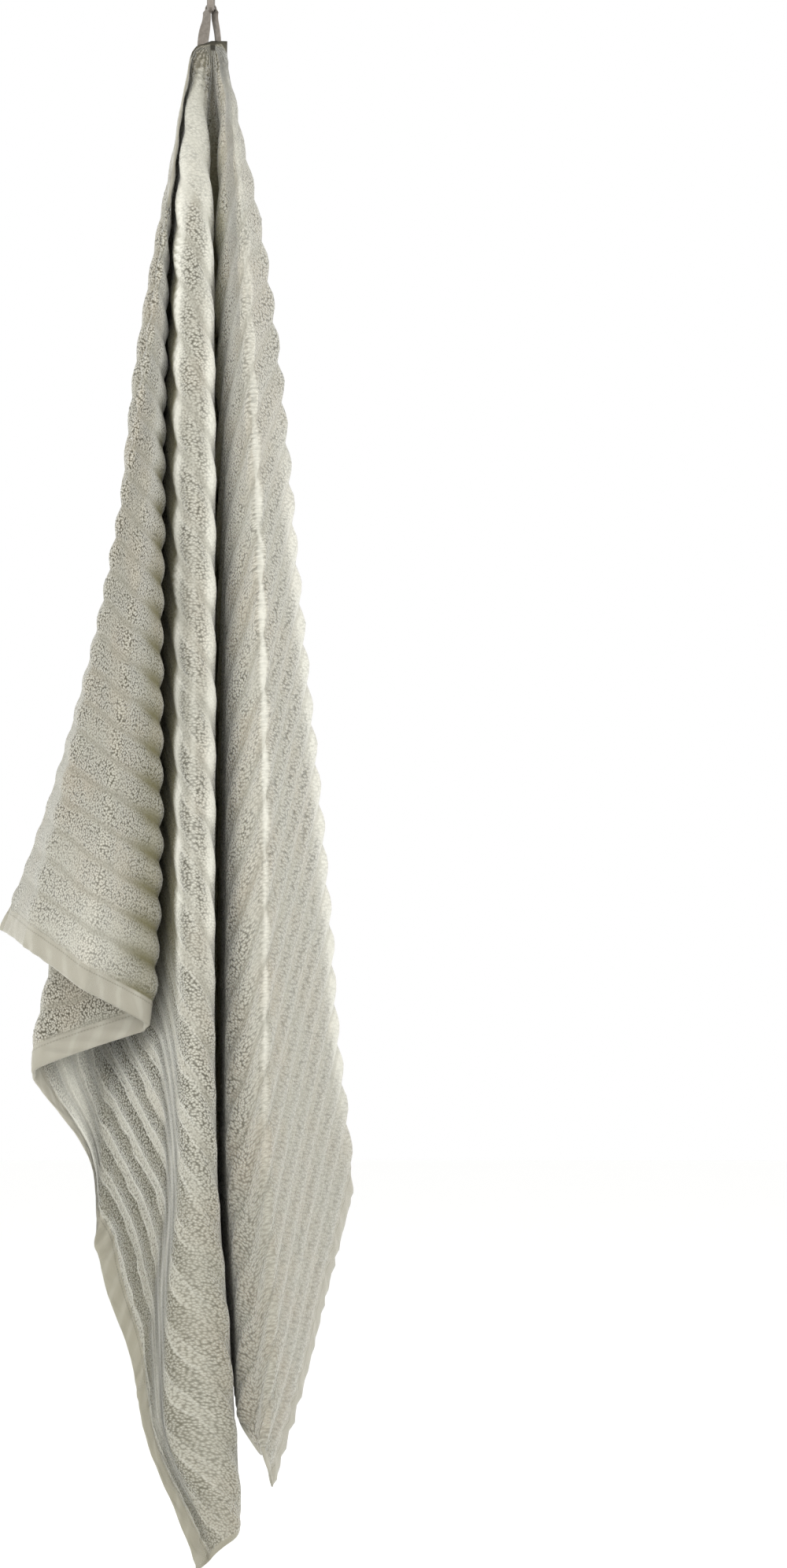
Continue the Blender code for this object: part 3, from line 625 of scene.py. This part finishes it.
def makeTowel():
    across, down, faces, marks = towelFaces()
    grid = np.arange(across.size).reshape(across.shape)
    a, b = grid[:-1, :-1].ravel(), grid[1:, :-1].ravel()
    c, d = grid[1:, 1:].ravel(), grid[:-1, 1:].ravel()
    front = np.stack([a, d, c, b], axis=1)
    back = np.stack([a, b, c, d], axis=1) + grid.size
    around = np.concatenate([grid[:, 0], grid[-1, 1:], grid[-2::-1, -1], grid[0, -2:0:-1]])
    ahead = np.roll(around, -1)
    rim = np.stack([around, ahead, ahead + grid.size, around + grid.size], axis=1)
    points = np.concatenate([face.reshape(-1, 3) for face in faces]) * cm + np.array(hangingPoint)
    flat = np.stack([across.ravel() + halfLong, down.ravel()], axis=1) * cm
    faceList = np.concatenate([front, back, rim]).tolist()
    thing = newObject("towel_cloth", points.tolist(), faceList, np.concatenate([flat, flat]))
    for name, values in marks.items():
        attribute = thing.data.attributes.new(name, "FLOAT", "POINT")
        behind = -values if name in ("bend", "front") else values
        both = np.concatenate([values.ravel(), behind.ravel()])
        attribute.data.foreach_set("value", both.astype(np.float32))
    return thing


# The terry's looks, its colours first. Lengths in m, turns in degrees from the right edge. A mask runs from
# 0 to 1, or from its third number to its fourth, as what it measures goes from its first to its second
terry = {
    "smooth": (0.340, 0.328, 0.275, 1),  # the cloth between patches of raised pile
    "piled": (0.355, 0.340, 0.280, 1),
    "warm": (0.375, 0.325, 0.250, 1),
    "dark": (0.060, 0.055, 0.034, 1),  # between the pile's loops
    "light": (0.640, 0.630, 0.550, 1),  # the loops' lit tips
    "foldHighlight": (0.560, 0.552, 0.485, 1),  # painted highlight along a sharp fold
    # painted light: highlights on the edges of folds, and lighter places that stand in for light
    "pale": (0.740, 0.732, 0.655, 1),
    "line": (0.600, 0.592, 0.525, 1),  # painted highlights in lines where the cloth is drawn tight
    "band": (0.205, 0.197, 0.155, 1),  # the grainy bands there
    "slack": (0.480, 0.470, 0.405, 1),  # the smooth bands between them, made lighter with painted light as well
    # painted shade in folds and gaps, on the puckers' shaded sides and low on the left hem
    "shade": (0.135, 0.123, 0.062, 1),
    "hidden": (0.480, 0.445, 0.245, 1),  # painted light: a lighter olive colour that lifts and tints the shade on the cloth between the two columns
    "hem": (0.365, 0.347, 0.287, 1),
    "hemHighlight": (0.520, 0.505, 0.440, 1),
    "gathered": (0.120, 0.111, 0.076, 1),  # the darker cloth under the loop, laid on most strongly as painted shade between its pleats
    "rim": (0.060, 0.055, 0.042, 1),

    "broadPatches": (16.0, 0.38, 0.68),  # their scale, and from and to which value of the noise
    "pilePatches": (30.0, 0.36, 0.58),
    "brokenLines": (30.0, 0.36, 0.56),
    "wander": 0.016,  # how far the ribs wander from one broad patch to the next
    "hemMore": (0.0012, -0.0005),  # beyond the hem's band, where the ribs end
    "selvedge": (0.0055, 0.0030),
    "warmth": 0.5,  # of the broad patches

    # The pile and its loops. What is measured on a rib is 0 in its valley and 1 on its top
    "pileOnRib": (0.10, 0.65, 0.25, 1.0),
    "pileInPatch": (0, 1, 0.45, 1.0),
    "pileLowDown": (0.84, 0.98, 0.0, 0.62),
    "loopScale": 520.0,
    "fineScale": 832.0,
    "loopsOut": 0.85,  # the smaller, the longer the loops on the right are away from the hanging loop
    "loopsAround": 0.20,  # and the wider they are around it
    "straighterFrom": 54,  # beyond this turn they are less wide
    "straighter": 0.35,
    "rightSide": (60, 58.5),
    "panel": (56.5, 54.5),
    "panelFade": (0.58, 0.86, 0.15, 0.55),
    "coarseness": (0.84, 1.02, 1.0, 0.66),
    "gaps": (0.46, 0.66),
    "gapStrength": (0, 1, 0.22, 0.85),
    "tips": (0.34, 0.12),
    "tipStrength": (0, 1, 0.12, 0.85),
    "rowPitch": 0.0021,  # between the pile's rows
    "rows": (-0.2, 0.9),
    "rowStrength": (0.15, 0.6, 0.30, 0.0),
    "rowsOnRight": (0, 1, 1.0, 0.55),
    "ribValleyShade": (0.42, 0.05, 0.0, 0.36),  # painted shade in the ground between two ribs

    # Drawn cloth, bent edges and folds
    "slackness": 0.8,
    "bandOnRib": (0.50, 0.68, 0.0, 0.95),
    "highlightLineStart": (0.34, 0.48),
    "highlightLineEnd": (0.62, 0.50),
    "highlightLineStrength": 0.8,
    "softBend": (0.30, 0.80, 0.0, 0.12),
    "sharpBend": (0.75, 1.05, 0.0, 0.6),
    "hiddenStart": (60, 66),
    "hiddenEnd": (121, 114),
    "hiddenTop": (0.04, 0.17),
    "hiddenFoot": (0.98, 0.84),
    "frontFace": (0, 0.5),
    "hiddenStrength": 0.8,
    "paintedLightOnRib": (0.1, 0.6, 0.55, 1.0),

    # The woven hems with their stitches
    "hemThreads": 1100.0,
    "threadShade": 0.25,
    "puckerPitch": 0.026,
    "puckerSlant": 0.8,
    "puckerWander": 2.2,
    "puckerInPatch": (0, 1, 0.25, 1.0),
    "puckerHighlight": (0.2, 1.0, 0.0, 0.24),
    "puckerShade": (-0.2, -1.0, 0.0, 0.06),
    "lowHemStart": (0.93, 1.0),
    "lowHemSide": (0.1, -0.1),
    "lowHemShade": 0.28,
    "seamStart": (0.0144, 0.0150),
    "seamEnd": (0.0162, 0.0156),
    "stitchPitch": 0.0032,
    "stitches": (-0.5, 0.1),
    "stitchShade": (0, 1, 0.30, 0.08),

    # The cloth gathered under the loop
    "pleats": 34.0,  # twice their number
    "pleatShade": (-0.6, 0.8, 0.30, 0.95),
    "gatheredEnd": (0.062, 0.006),
    "rimDepth": (0.0036, 0.0020),
    "rimEnd": (0.024, 0.019),
    "rimStrength": 0.9,
    "slitAside": 0.0015,  # the painted shade of the slit in its middle: how far right, how wide and how deep
    "slitWidth": (0.0034, 0.0018),
    "slitEnd": (0.0095, 0.0070),

    # The sheen, less of it inside the folds, and the heights
    "hiddenSheen": 0.55,  # how far the cloth between the two columns counts as a fold
    "sheenInFolds": (0, 1, 1.0, 0.1),
    "bumpStrength": 1.0,
    "pile": 0.0018,  # the bump's depth
    "loopHeight": -0.8,
    "fineHeight": 0.8,
    "heightInPile": (0, 1, 0.45, 1.0),
    "heightUnderPaintedLight": (0.1, 0.6, 1.0, 0.3),
    "rowHeight": 0.05,
    "pleatHeight": 0.5,
    "threadHeight": 0.06,
    "seamHeight": -0.10,
    "finish": {"Roughness": 0.95, "Sheen Roughness": 0.35, "Sheen Tint": (0.96, 0.96, 0.91, 1),
               "Specular IOR Level": 0.1},
}


def terryRamp(tree, value, name):
    return ramp(tree, value, *terry[name])


def turnRamp(tree, turn, name):
    return ramp(tree, turn, *(radians(degrees) for degrees in terry[name]))


def markOf(tree, name):  # what the mesh carries for each point
    return addNode(tree, "ShaderNodeAttribute", attribute_name=name).outputs["Fac"]


def clothMeasures(tree):  # where a point lies on the flat cloth
    flat = addNode(tree, "ShaderNodeUVMap", uv_map="cloth").outputs[0]
    parts = addNode(tree, "ShaderNodeSeparateXYZ", {0: flat})
    centred, down = minus(tree, parts.outputs[0], halfLong * cm), parts.outputs[1]
    broad, broadHeight = grain(tree, flat, *terry["broadPatches"])
    wander = times(tree, minus(tree, broadHeight, 0.5), terry["wander"])
    shifted = plus(tree, centred, wander)
    place = addNode(tree, "ShaderNodeCombineXYZ", {0: centred, 1: down}).outputs[0]
    half = towel["shortSide"] / 2 * cm
    return {
        "flat": flat, "centred": centred, "down": down, "broad": broad, "wander": wander,
        "rib": maths(tree, "ABSOLUTE", sineWave(tree, shifted, 2 * ribPitch * cm)),
        "rows": sineWave(tree, shifted, terry["rowPitch"]),
        "fromHem": minus(tree, halfLong * cm, maths(tree, "ABSOLUTE", centred)),
        "fromEdge": minus(tree, half, maths(tree, "ABSOLUTE", minus(tree, down, half))),
        "distance": addNode(tree, "ShaderNodeVectorMath", {0: place}, operation="LENGTH").outputs["Value"],
        "turn": maths(tree, "ARCTAN2", down, centred),
        "patch": grain(tree, flat, *terry["pilePatches"])[0],
    }


def terryLoops(tree, place):
    sizes = {"Vector": place, "Scale": terry["loopScale"], "Randomness": 1.0}
    return addNode(tree, "ShaderNodeTexVoronoi", sizes, voronoi_dimensions="2D").outputs[0]


def pileMasks(tree, at):  # patches of raised pile on the ribs, with dark gaps and lit tips
    piled = times(tree, terryRamp(tree, at["rib"], "pileOnRib"), terryRamp(tree, at["patch"], "pileInPatch"))
    piled = largest(tree, piled, terryRamp(tree, at["distance"], "pileLowDown"))
    # On the right the loops are wide, because the cloth there is seen from its side
    straighter = largest(tree, minus(tree, at["turn"], radians(terry["straighterFrom"])), 0.0)
    around = plus(tree, times(tree, at["turn"], terry["loopsAround"]),
                  times(tree, straighter, terry["straighter"]))
    outward = times(tree, at["distance"], terry["loopsOut"])
    wide = addNode(tree, "ShaderNodeCombineXYZ", {0: outward, 1: around}).outputs[0]
    onRight = turnRamp(tree, at["turn"], "rightSide")
    loops = mixValues(tree, onRight, terryLoops(tree, at["flat"]), terryLoops(tree, wide))
    panelFade = times(tree, onRight, turnRamp(tree, at["turn"], "panel"),
                      terryRamp(tree, at["distance"], "panelFade"))
    coarse = times(tree, terryRamp(tree, at["distance"], "coarseness"), minus(tree, 1.0, panelFade))
    return {
        "piled": piled, "onRight": onRight, "loops": loops,
        "gaps": times(tree, terryRamp(tree, loops, "gaps"), coarse, terryRamp(tree, piled, "gapStrength")),
        "tips": times(tree, terryRamp(tree, loops, "tips"), coarse, terryRamp(tree, piled, "tipStrength")),
    }


def foldMasks(tree, at):  # painted highlights on bent edges, painted light and painted shade in other places, and the painted tint of the shade between the columns
    bend = markOf(tree, "bend")
    hidden = times(tree, turnRamp(tree, at["turn"], "hiddenStart"), turnRamp(tree, at["turn"], "hiddenEnd"),
                   terryRamp(tree, at["distance"], "hiddenTop"),
                   terryRamp(tree, at["distance"], "hiddenFoot"),
                   terryRamp(tree, markOf(tree, "front"), "frontFace"))
    return {
        "foldHighlight": largest(tree, terryRamp(tree, bend, "softBend"), terryRamp(tree, bend, "sharpBend")),
        "hidden": hidden, "pale": markOf(tree, "pale"), "shaded": markOf(tree, "shaded"),
    }


def pileColor(tree, at, pile, fold):
    rib, piled, drawn = at["rib"], pile["piled"], markOf(tree, "drawn")
    hatch = times(tree, terryRamp(tree, at["rows"], "rows"), terryRamp(tree, piled, "rowStrength"),
                  terryRamp(tree, pile["onRight"], "rowsOnRight"))
    ribValleyShade = times(tree, terryRamp(tree, rib, "ribValleyShade"), minus(tree, 1.0, drawn))
    broken = grain(tree, at["flat"], *terry["brokenLines"])[0]
    # painted highlights along the ribs' edges where the cloth is drawn tight
    line = times(tree, terryRamp(tree, rib, "highlightLineStart"), terryRamp(tree, rib, "highlightLineEnd"), broken, drawn,
                 terry["highlightLineStrength"])
    return layered(
        tree, terry["smooth"],
        (piled, terry["piled"]),
        (times(tree, at["broad"], terry["warmth"]), terry["warm"]),
        (hatch, terry["band"]),
        (ribValleyShade, terry["band"]),
        (times(tree, drawn, terry["slackness"]), terry["slack"]),
        (times(tree, drawn, terryRamp(tree, rib, "bandOnRib")), terry["band"]),
        (pile["gaps"], terry["dark"]),
        (pile["tips"], terry["light"]),
        (line, terry["line"]),
        (fold["foldHighlight"], terry["foldHighlight"]),
        (times(tree, fold["hidden"], terry["hiddenStrength"]), terry["hidden"]),
        (times(tree, fold["pale"], terryRamp(tree, rib, "paintedLightOnRib")), terry["pale"]),
        (fold["shaded"], terry["shade"]),
    )


def hemColor(tree, at, threads, seam):  # woven, drawn in along its slanted puckers with a painted highlight and painted shade on their sides, with painted shade low on the left hem, and one line of stitches
    slanted = plus(tree, at["down"], times(tree, at["fromHem"], terry["puckerSlant"]),
                   times(tree, at["wander"], terry["puckerWander"]))
    pucker = sineWave(tree, slanted, terry["puckerPitch"])
    here = terryRamp(tree, at["patch"], "puckerInPatch")
    low = times(tree, terryRamp(tree, at["distance"], "lowHemStart"),
                terryRamp(tree, at["centred"], "lowHemSide"), terry["lowHemShade"])
    stitches = terryRamp(tree, sineWave(tree, at["down"], terry["stitchPitch"]), "stitches")
    return layered(
        tree, terry["hem"],
        (times(tree, threads, terry["threadShade"]), terry["dark"]),
        (times(tree, terryRamp(tree, pucker, "puckerHighlight"), here), terry["hemHighlight"]),
        (times(tree, terryRamp(tree, pucker, "puckerShade"), here), terry["shade"]),
        (low, terry["shade"]),
        (times(tree, seam, terryRamp(tree, stitches, "stitchShade")), terry["dark"]),
    )


def makeTerry():
    material, tree, shader = newMaterial("terry")
    at = clothMeasures(tree)
    pile = pileMasks(tree, at)
    fold = foldMasks(tree, at)
    hem = ramp(tree, at["fromHem"], *(towel["hemBand"] * cm + more for more in terry["hemMore"]))
    plain = largest(tree, hem, terryRamp(tree, at["fromEdge"], "selvedge"))
    threads, threadHeight = weave(tree, at["flat"], terry["hemThreads"])
    seam = times(tree, terryRamp(tree, at["fromHem"], "seamStart"), terryRamp(tree, at["fromHem"], "seamEnd"))
    color = mixColors(tree, plain, pileColor(tree, at, pile, fold), hemColor(tree, at, threads, seam))

    # Darker where it is gathered under the loop, with painted shade between its pleats and in the slit in its
    # middle, and a darker rim along the top edge
    pleats = maths(tree, "SINE", times(tree, at["turn"], terry["pleats"]))
    nearTop = terryRamp(tree, at["distance"], "gatheredEnd")
    rim = times(tree, terryRamp(tree, at["fromEdge"], "rimDepth"), terryRamp(tree, at["distance"], "rimEnd"))
    beside = maths(tree, "ABSOLUTE", minus(tree, at["centred"], terry["slitAside"]))
    slit = times(tree, terryRamp(tree, beside, "slitWidth"), terryRamp(tree, at["down"], "slitEnd"))
    color = layered(
        tree, color,
        (times(tree, nearTop, terryRamp(tree, pleats, "pleatShade")), terry["gathered"]),
        (times(tree, rim, terry["rimStrength"]), terry["rim"]),
        (slit, terry["rim"]),
    )
    tree.links.new(color, shader.inputs["Base Color"])
    inFold = largest(tree, times(tree, fold["hidden"], terry["hiddenSheen"]), rim, slit, fold["shaded"])
    tree.links.new(terryRamp(tree, inFold, "sheenInFolds"), shader.inputs["Sheen Weight"])

    fine = grain(tree, at["flat"], terry["fineScale"])[1]
    height = plus(tree, times(tree, pile["loops"], terry["loopHeight"]),
                  times(tree, fine, terry["fineHeight"]))
    height = times(tree, height, terryRamp(tree, pile["piled"], "heightInPile"),
                   terryRamp(tree, fold["pale"], "heightUnderPaintedLight"))
    height = plus(tree, height, times(tree, at["rows"], terry["rowHeight"]),
                  times(tree, pleats, nearTop, terry["pleatHeight"]))
    plainHeight = plus(tree, times(tree, threadHeight, terry["threadHeight"]),
                       times(tree, seam, terry["seamHeight"]))
    height = mixValues(tree, plain, height, plainHeight)
    addBump(tree, shader, terry["bumpStrength"], terry["pile"], height)
    setSockets(shader, terry["finish"])
    return material


towelPiece = makeTowel()
towelPiece.data.materials.append(makeTerry())
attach(towelPiece, "root")
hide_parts("towel")
print("towel made:", len(towelPiece.data.polygons), "faces")


# The hanging loop: one tape folded over the hook's rod. Sizes in mm
tape = {
    "width": 9.0,
    "thickness": 1.5,
    "rodRadius": 3.0,
    "rodHeight": 25.8,  # the rod's middle under the loop, above the hanging point
    "clearance": 0.3,
    "legLeft": -6.6,  # where the legs meet the towel's top edge, right of the hanging point
    "legRight": 5.8,
    "twistShares": (0, 0.30, 0.62, 0.92, 1.0),  # of a leg, from its sewn end
    "leftTwist": (84, 84, 52, 42, 0),  # degrees that the leg is turned towards the viewer at each share
    "rightTwist": (-32, -32, -34, -38, 0),
    "seat": -0.3,  # how far its ends stand above the top edge
    "edgeReach": 1.4,  # cm of cloth to either side in which the top edge is looked up
    "edgeSteps": 57,
    "legSteps": 24,
    "arcSteps": 16,
    "ribs": 7,  # lengthwise ribs of its weave
    "ribRise": 0.10,
    "ribbedWidth": 0.95,  # the share of the width that the ribs take up
    "edgeSquareness": 12,
    "leastHeight": 0.12,
    "bow": 1.3,  # how far the legs draw together under the rod
    "bowPower": 2.2,  # over 1 they do so nearer the rod
    "stepLength": 1.2,  # of its weave, for each step along the tape
    "color": (0.205, 0.178, 0.147, 1),
    "dark": (0.050, 0.043, 0.035, 1),
    "faded": (0.40, 0.37, 0.32, 1),
    "threads": (1900.0, 0.8),  # for each m, and how full they are
    "threadShade": 0.6,
    "fading": (260.0, 0.35, 0.65),
    "fade": 0.25,
    "bumpStrength": 0.8,
    "bumpDepth": 0.0004,  # m
    "finish": {"Roughness": 0.82, "Sheen Weight": 0.2},
}


def topEdgeAt(right):  # a point of the towel's top edge, by how far right it is, in m
    places = np.linspace(-tape["edgeReach"], tape["edgeReach"], tape["edgeSteps"])
    edge = hang(places, np.zeros_like(places)) * cm + np.array(hangingPoint)
    return Vector([right] + [float(np.interp(right, edge[:, 0], edge[:, axis])) for axis in (1, 2)])


def tapePath():  # up the left leg, over the rod and down the right leg
    over = hangingPoint + Vector((0, 0, tape["rodHeight"] * mm))
    over.x = 0
    radius = (tape["rodRadius"] + tape["clearance"] + tape["thickness"] / 2) * mm
    start, end = topEdgeAt(tape["legLeft"] * mm), topEdgeAt(tape["legRight"] * mm)

    def touch(leg, side):  # the angle at which a leg touches the rod
        return atan2(leg.z, leg.x) - side * acos(radius / hypot(leg.x, leg.z))

    first, last = touch(start - over, 1) % (2 * pi), touch(end - over, -1)
    angles = [first + (last - first) * step / tape["arcSteps"] for step in range(tape["arcSteps"] + 1)]
    arc = [over + Vector((cos(angle), 0, sin(angle))) * radius for angle in angles]
    steps = [step / tape["legSteps"] for step in range(tape["legSteps"])]
    inward = [tape["bow"] * mm * sin(pi * step ** tape["bowPower"]) for step in steps]
    left = [start.lerp(arc[0], step) + Vector((bow, 0, 0)) for step, bow in zip(steps, inward)]
    right = [end.lerp(arc[-1], step) - Vector((bow, 0, 0)) for step, bow in zip(steps, inward)]
    return left + arc + right[::-1]


def tapeSection():  # the tape's ribbed section: places across from -1 to 1, and out in mm
    count = tape["ribs"] * 4
    section = []
    for x in [-1 + 2 * step / count for step in range(count + 1)]:
        high = tape["thickness"] / 2 * (1 - abs(x) ** tape["edgeSquareness"]) ** 0.5 if abs(x) < 1 else 0.0
        ribbed = abs(x) < tape["ribbedWidth"]
        high = high + tape["ribRise"] * cos(pi * x * tape["ribs"]) * ribbed - tape["ribRise"]
        section.append((x, max(high, tape["leastHeight"])))
    return section


def makeTape():
    path, section = tapePath(), tapeSection()
    last = len(path) - 1
    ring = [(x, -high) for x, high in section] + [(x, high) for x, high in section[::-1]]
    points, uvs = [], []
    for index, point in enumerate(path):
        ahead = (path[min(index + 1, last)] - path[max(index - 1, 0)]).normalized()
        up = min(index, last - index) / tape["legSteps"]
        turned = tape["leftTwist"] if index < last / 2 else tape["rightTwist"]
        twist = radians(float(np.interp(up, tape["twistShares"], turned)))
        alongRod = Vector((0, 1, 0))
        alongRod = (alongRod - ahead * alongRod.dot(ahead)).normalized()
        wide = alongRod * cos(twist) + ahead.cross(alongRod) * sin(twist)
        thick = ahead.cross(wide)
        for x, high in ring:
            place = point + wide * (x * tape["width"] / 2 * mm) + thick * (high * mm)
            if index in (0, last):
                place.z = topEdgeAt(place.x).z + tape["seat"] * mm
            points.append(place)
            uvs.append((x * tape["width"] / 2 * mm, index * tape["stepLength"] * mm))
    size = len(ring)
    faces = [(r * size + k, r * size + (k + 1) % size, (r + 1) * size + (k + 1) % size, (r + 1) * size + k)
             for r in range(last) for k in range(size)]
    faces += [tuple(range(size))[::-1], tuple(range(last * size, (last + 1) * size))]
    return newObject("tape_loop", points, faces, uvs)


def makeTapeFinish():
    material, tree, shader = newMaterial("tape")
    flat = addNode(tree, "ShaderNodeUVMap", uv_map="cloth").outputs[0]
    threads, threadHeight = weave(tree, flat, *tape["threads"])
    faded = grain(tree, flat, *tape["fading"])[0]
    color = layered(tree, tape["color"], (times(tree, threads, tape["threadShade"]), tape["dark"]),
                    (times(tree, faded, tape["fade"]), tape["faded"]))
    tree.links.new(color, shader.inputs["Base Color"])
    addBump(tree, shader, tape["bumpStrength"], tape["bumpDepth"], threadHeight)
    setSockets(shader, tape["finish"])
    return material


tapePiece = makeTape()
tapePiece.data.materials.append(makeTapeFinish())
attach(tapePiece, "root")
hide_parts("hanging_loop")
print("tape made")

# The hook's metal, on the solid itself
hookMetal = {
    "color": (0.215, 0.190, 0.165, 1),
    "worn": (0.330, 0.300, 0.265, 1),
    "brushing": (120.0, 120.0, 14.0),
    "lines": (14.0, 0.35, 0.65),  # their scale, and from and to which value of the noise
    "lineShare": 0.35,
    "rubbing": (90.0, 0.50, 0.72),
    "rubbedShare": 0.4,
    "roughness": (0.0, 1.0, 0.32, 0.46),
    "bumpStrength": 0.25,
    "bumpDepth": 0.0001,  # m
    "metallic": 0.9,
}


def makeHookFinish():
    material, tree, shader = newMaterial("brushed metal")
    place = addNode(tree, "ShaderNodeTexCoord").outputs["Object"]
    stretched = addNode(tree, "ShaderNodeMapping", {0: place, 3: hookMetal["brushing"]}).outputs[0]
    lines, lineHeight = grain(tree, stretched, *hookMetal["lines"])
    rubbed = grain(tree, place, *hookMetal["rubbing"])[0]
    color = layered(tree, hookMetal["color"], (times(tree, lines, hookMetal["lineShare"]), hookMetal["worn"]),
                    (times(tree, rubbed, hookMetal["rubbedShare"]), hookMetal["worn"]))
    tree.links.new(color, shader.inputs["Base Color"])
    tree.links.new(ramp(tree, lines, *hookMetal["roughness"]), shader.inputs["Roughness"])
    addBump(tree, shader, hookMetal["bumpStrength"], hookMetal["bumpDepth"], lineHeight)
    setSockets(shader, {"Metallic": hookMetal["metallic"]})
    return material


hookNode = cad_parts["hook"]
hookNode.data.materials.clear()
hookNode.data.materials.append(makeHookFinish())
for face in hookNode.data.polygons:
    face.material_index = 0
print("hook finished")


# The floor and lights. Each light has its name, place, aim, size in m and power in W
stage = {
    "floorGap": 0.02,
    "floorRadius": 9.0,
    "floorSides": 96,
    "floorFinish": {"Base Color": (0.93, 0.93, 0.92, 1), "Roughness": 0.9,
                    "Emission Color": (1, 1, 1, 1), "Emission Strength": 0.05},
    "lights": (
        ("left", (-2.7, -1.7, 0.5), (0, -0.07, -0.6), 2.2, 60),
        ("right", (2.7, -1.7, 0.4), (0, -0.07, -0.6), 2.2, 51),
        ("front", (-0.6, -3.9, -1.0), (0, -0.07, -0.7), 3.0, 6),
    ),
    "world": {"Color": (1, 1, 1, 1), "Strength": 1.0},
}


def makeFloor():
    low = cadBounds[0].z - stage["floorGap"]
    radius, sides = stage["floorRadius"], stage["floorSides"]
    ring = [(radius * cos(2 * pi * k / sides), radius * sin(2 * pi * k / sides), low) for k in range(sides)]
    floor = newObject("floor", ring, [tuple(range(sides))])
    material, _, shader = newMaterial("pale floor")
    setSockets(shader, stage["floorFinish"])
    floor.data.materials.append(material)


def addLight(name, place, aim, size, power):
    data = bpy.data.lights.new(name, "AREA")
    data.shape = "DISK"
    data.size = size
    data.energy = power
    light = bpy.data.objects.new(name, data)
    light.location = place
    light.rotation_mode = "QUATERNION"
    light.rotation_quaternion = (Vector(aim) - Vector(place)).to_track_quat("-Z", "Y")
    bpy.context.collection.objects.link(light)


makeFloor()
for light in stage["lights"]:
    addLight(*light)
world = bpy.data.worlds.new("studio")
bpy.context.scene.world = world
world.use_nodes = True
setSockets(world.node_tree.nodes["Background"], stage["world"])
bpy.context.scene.view_settings.view_transform = "Standard"
print("floor and lights placed")
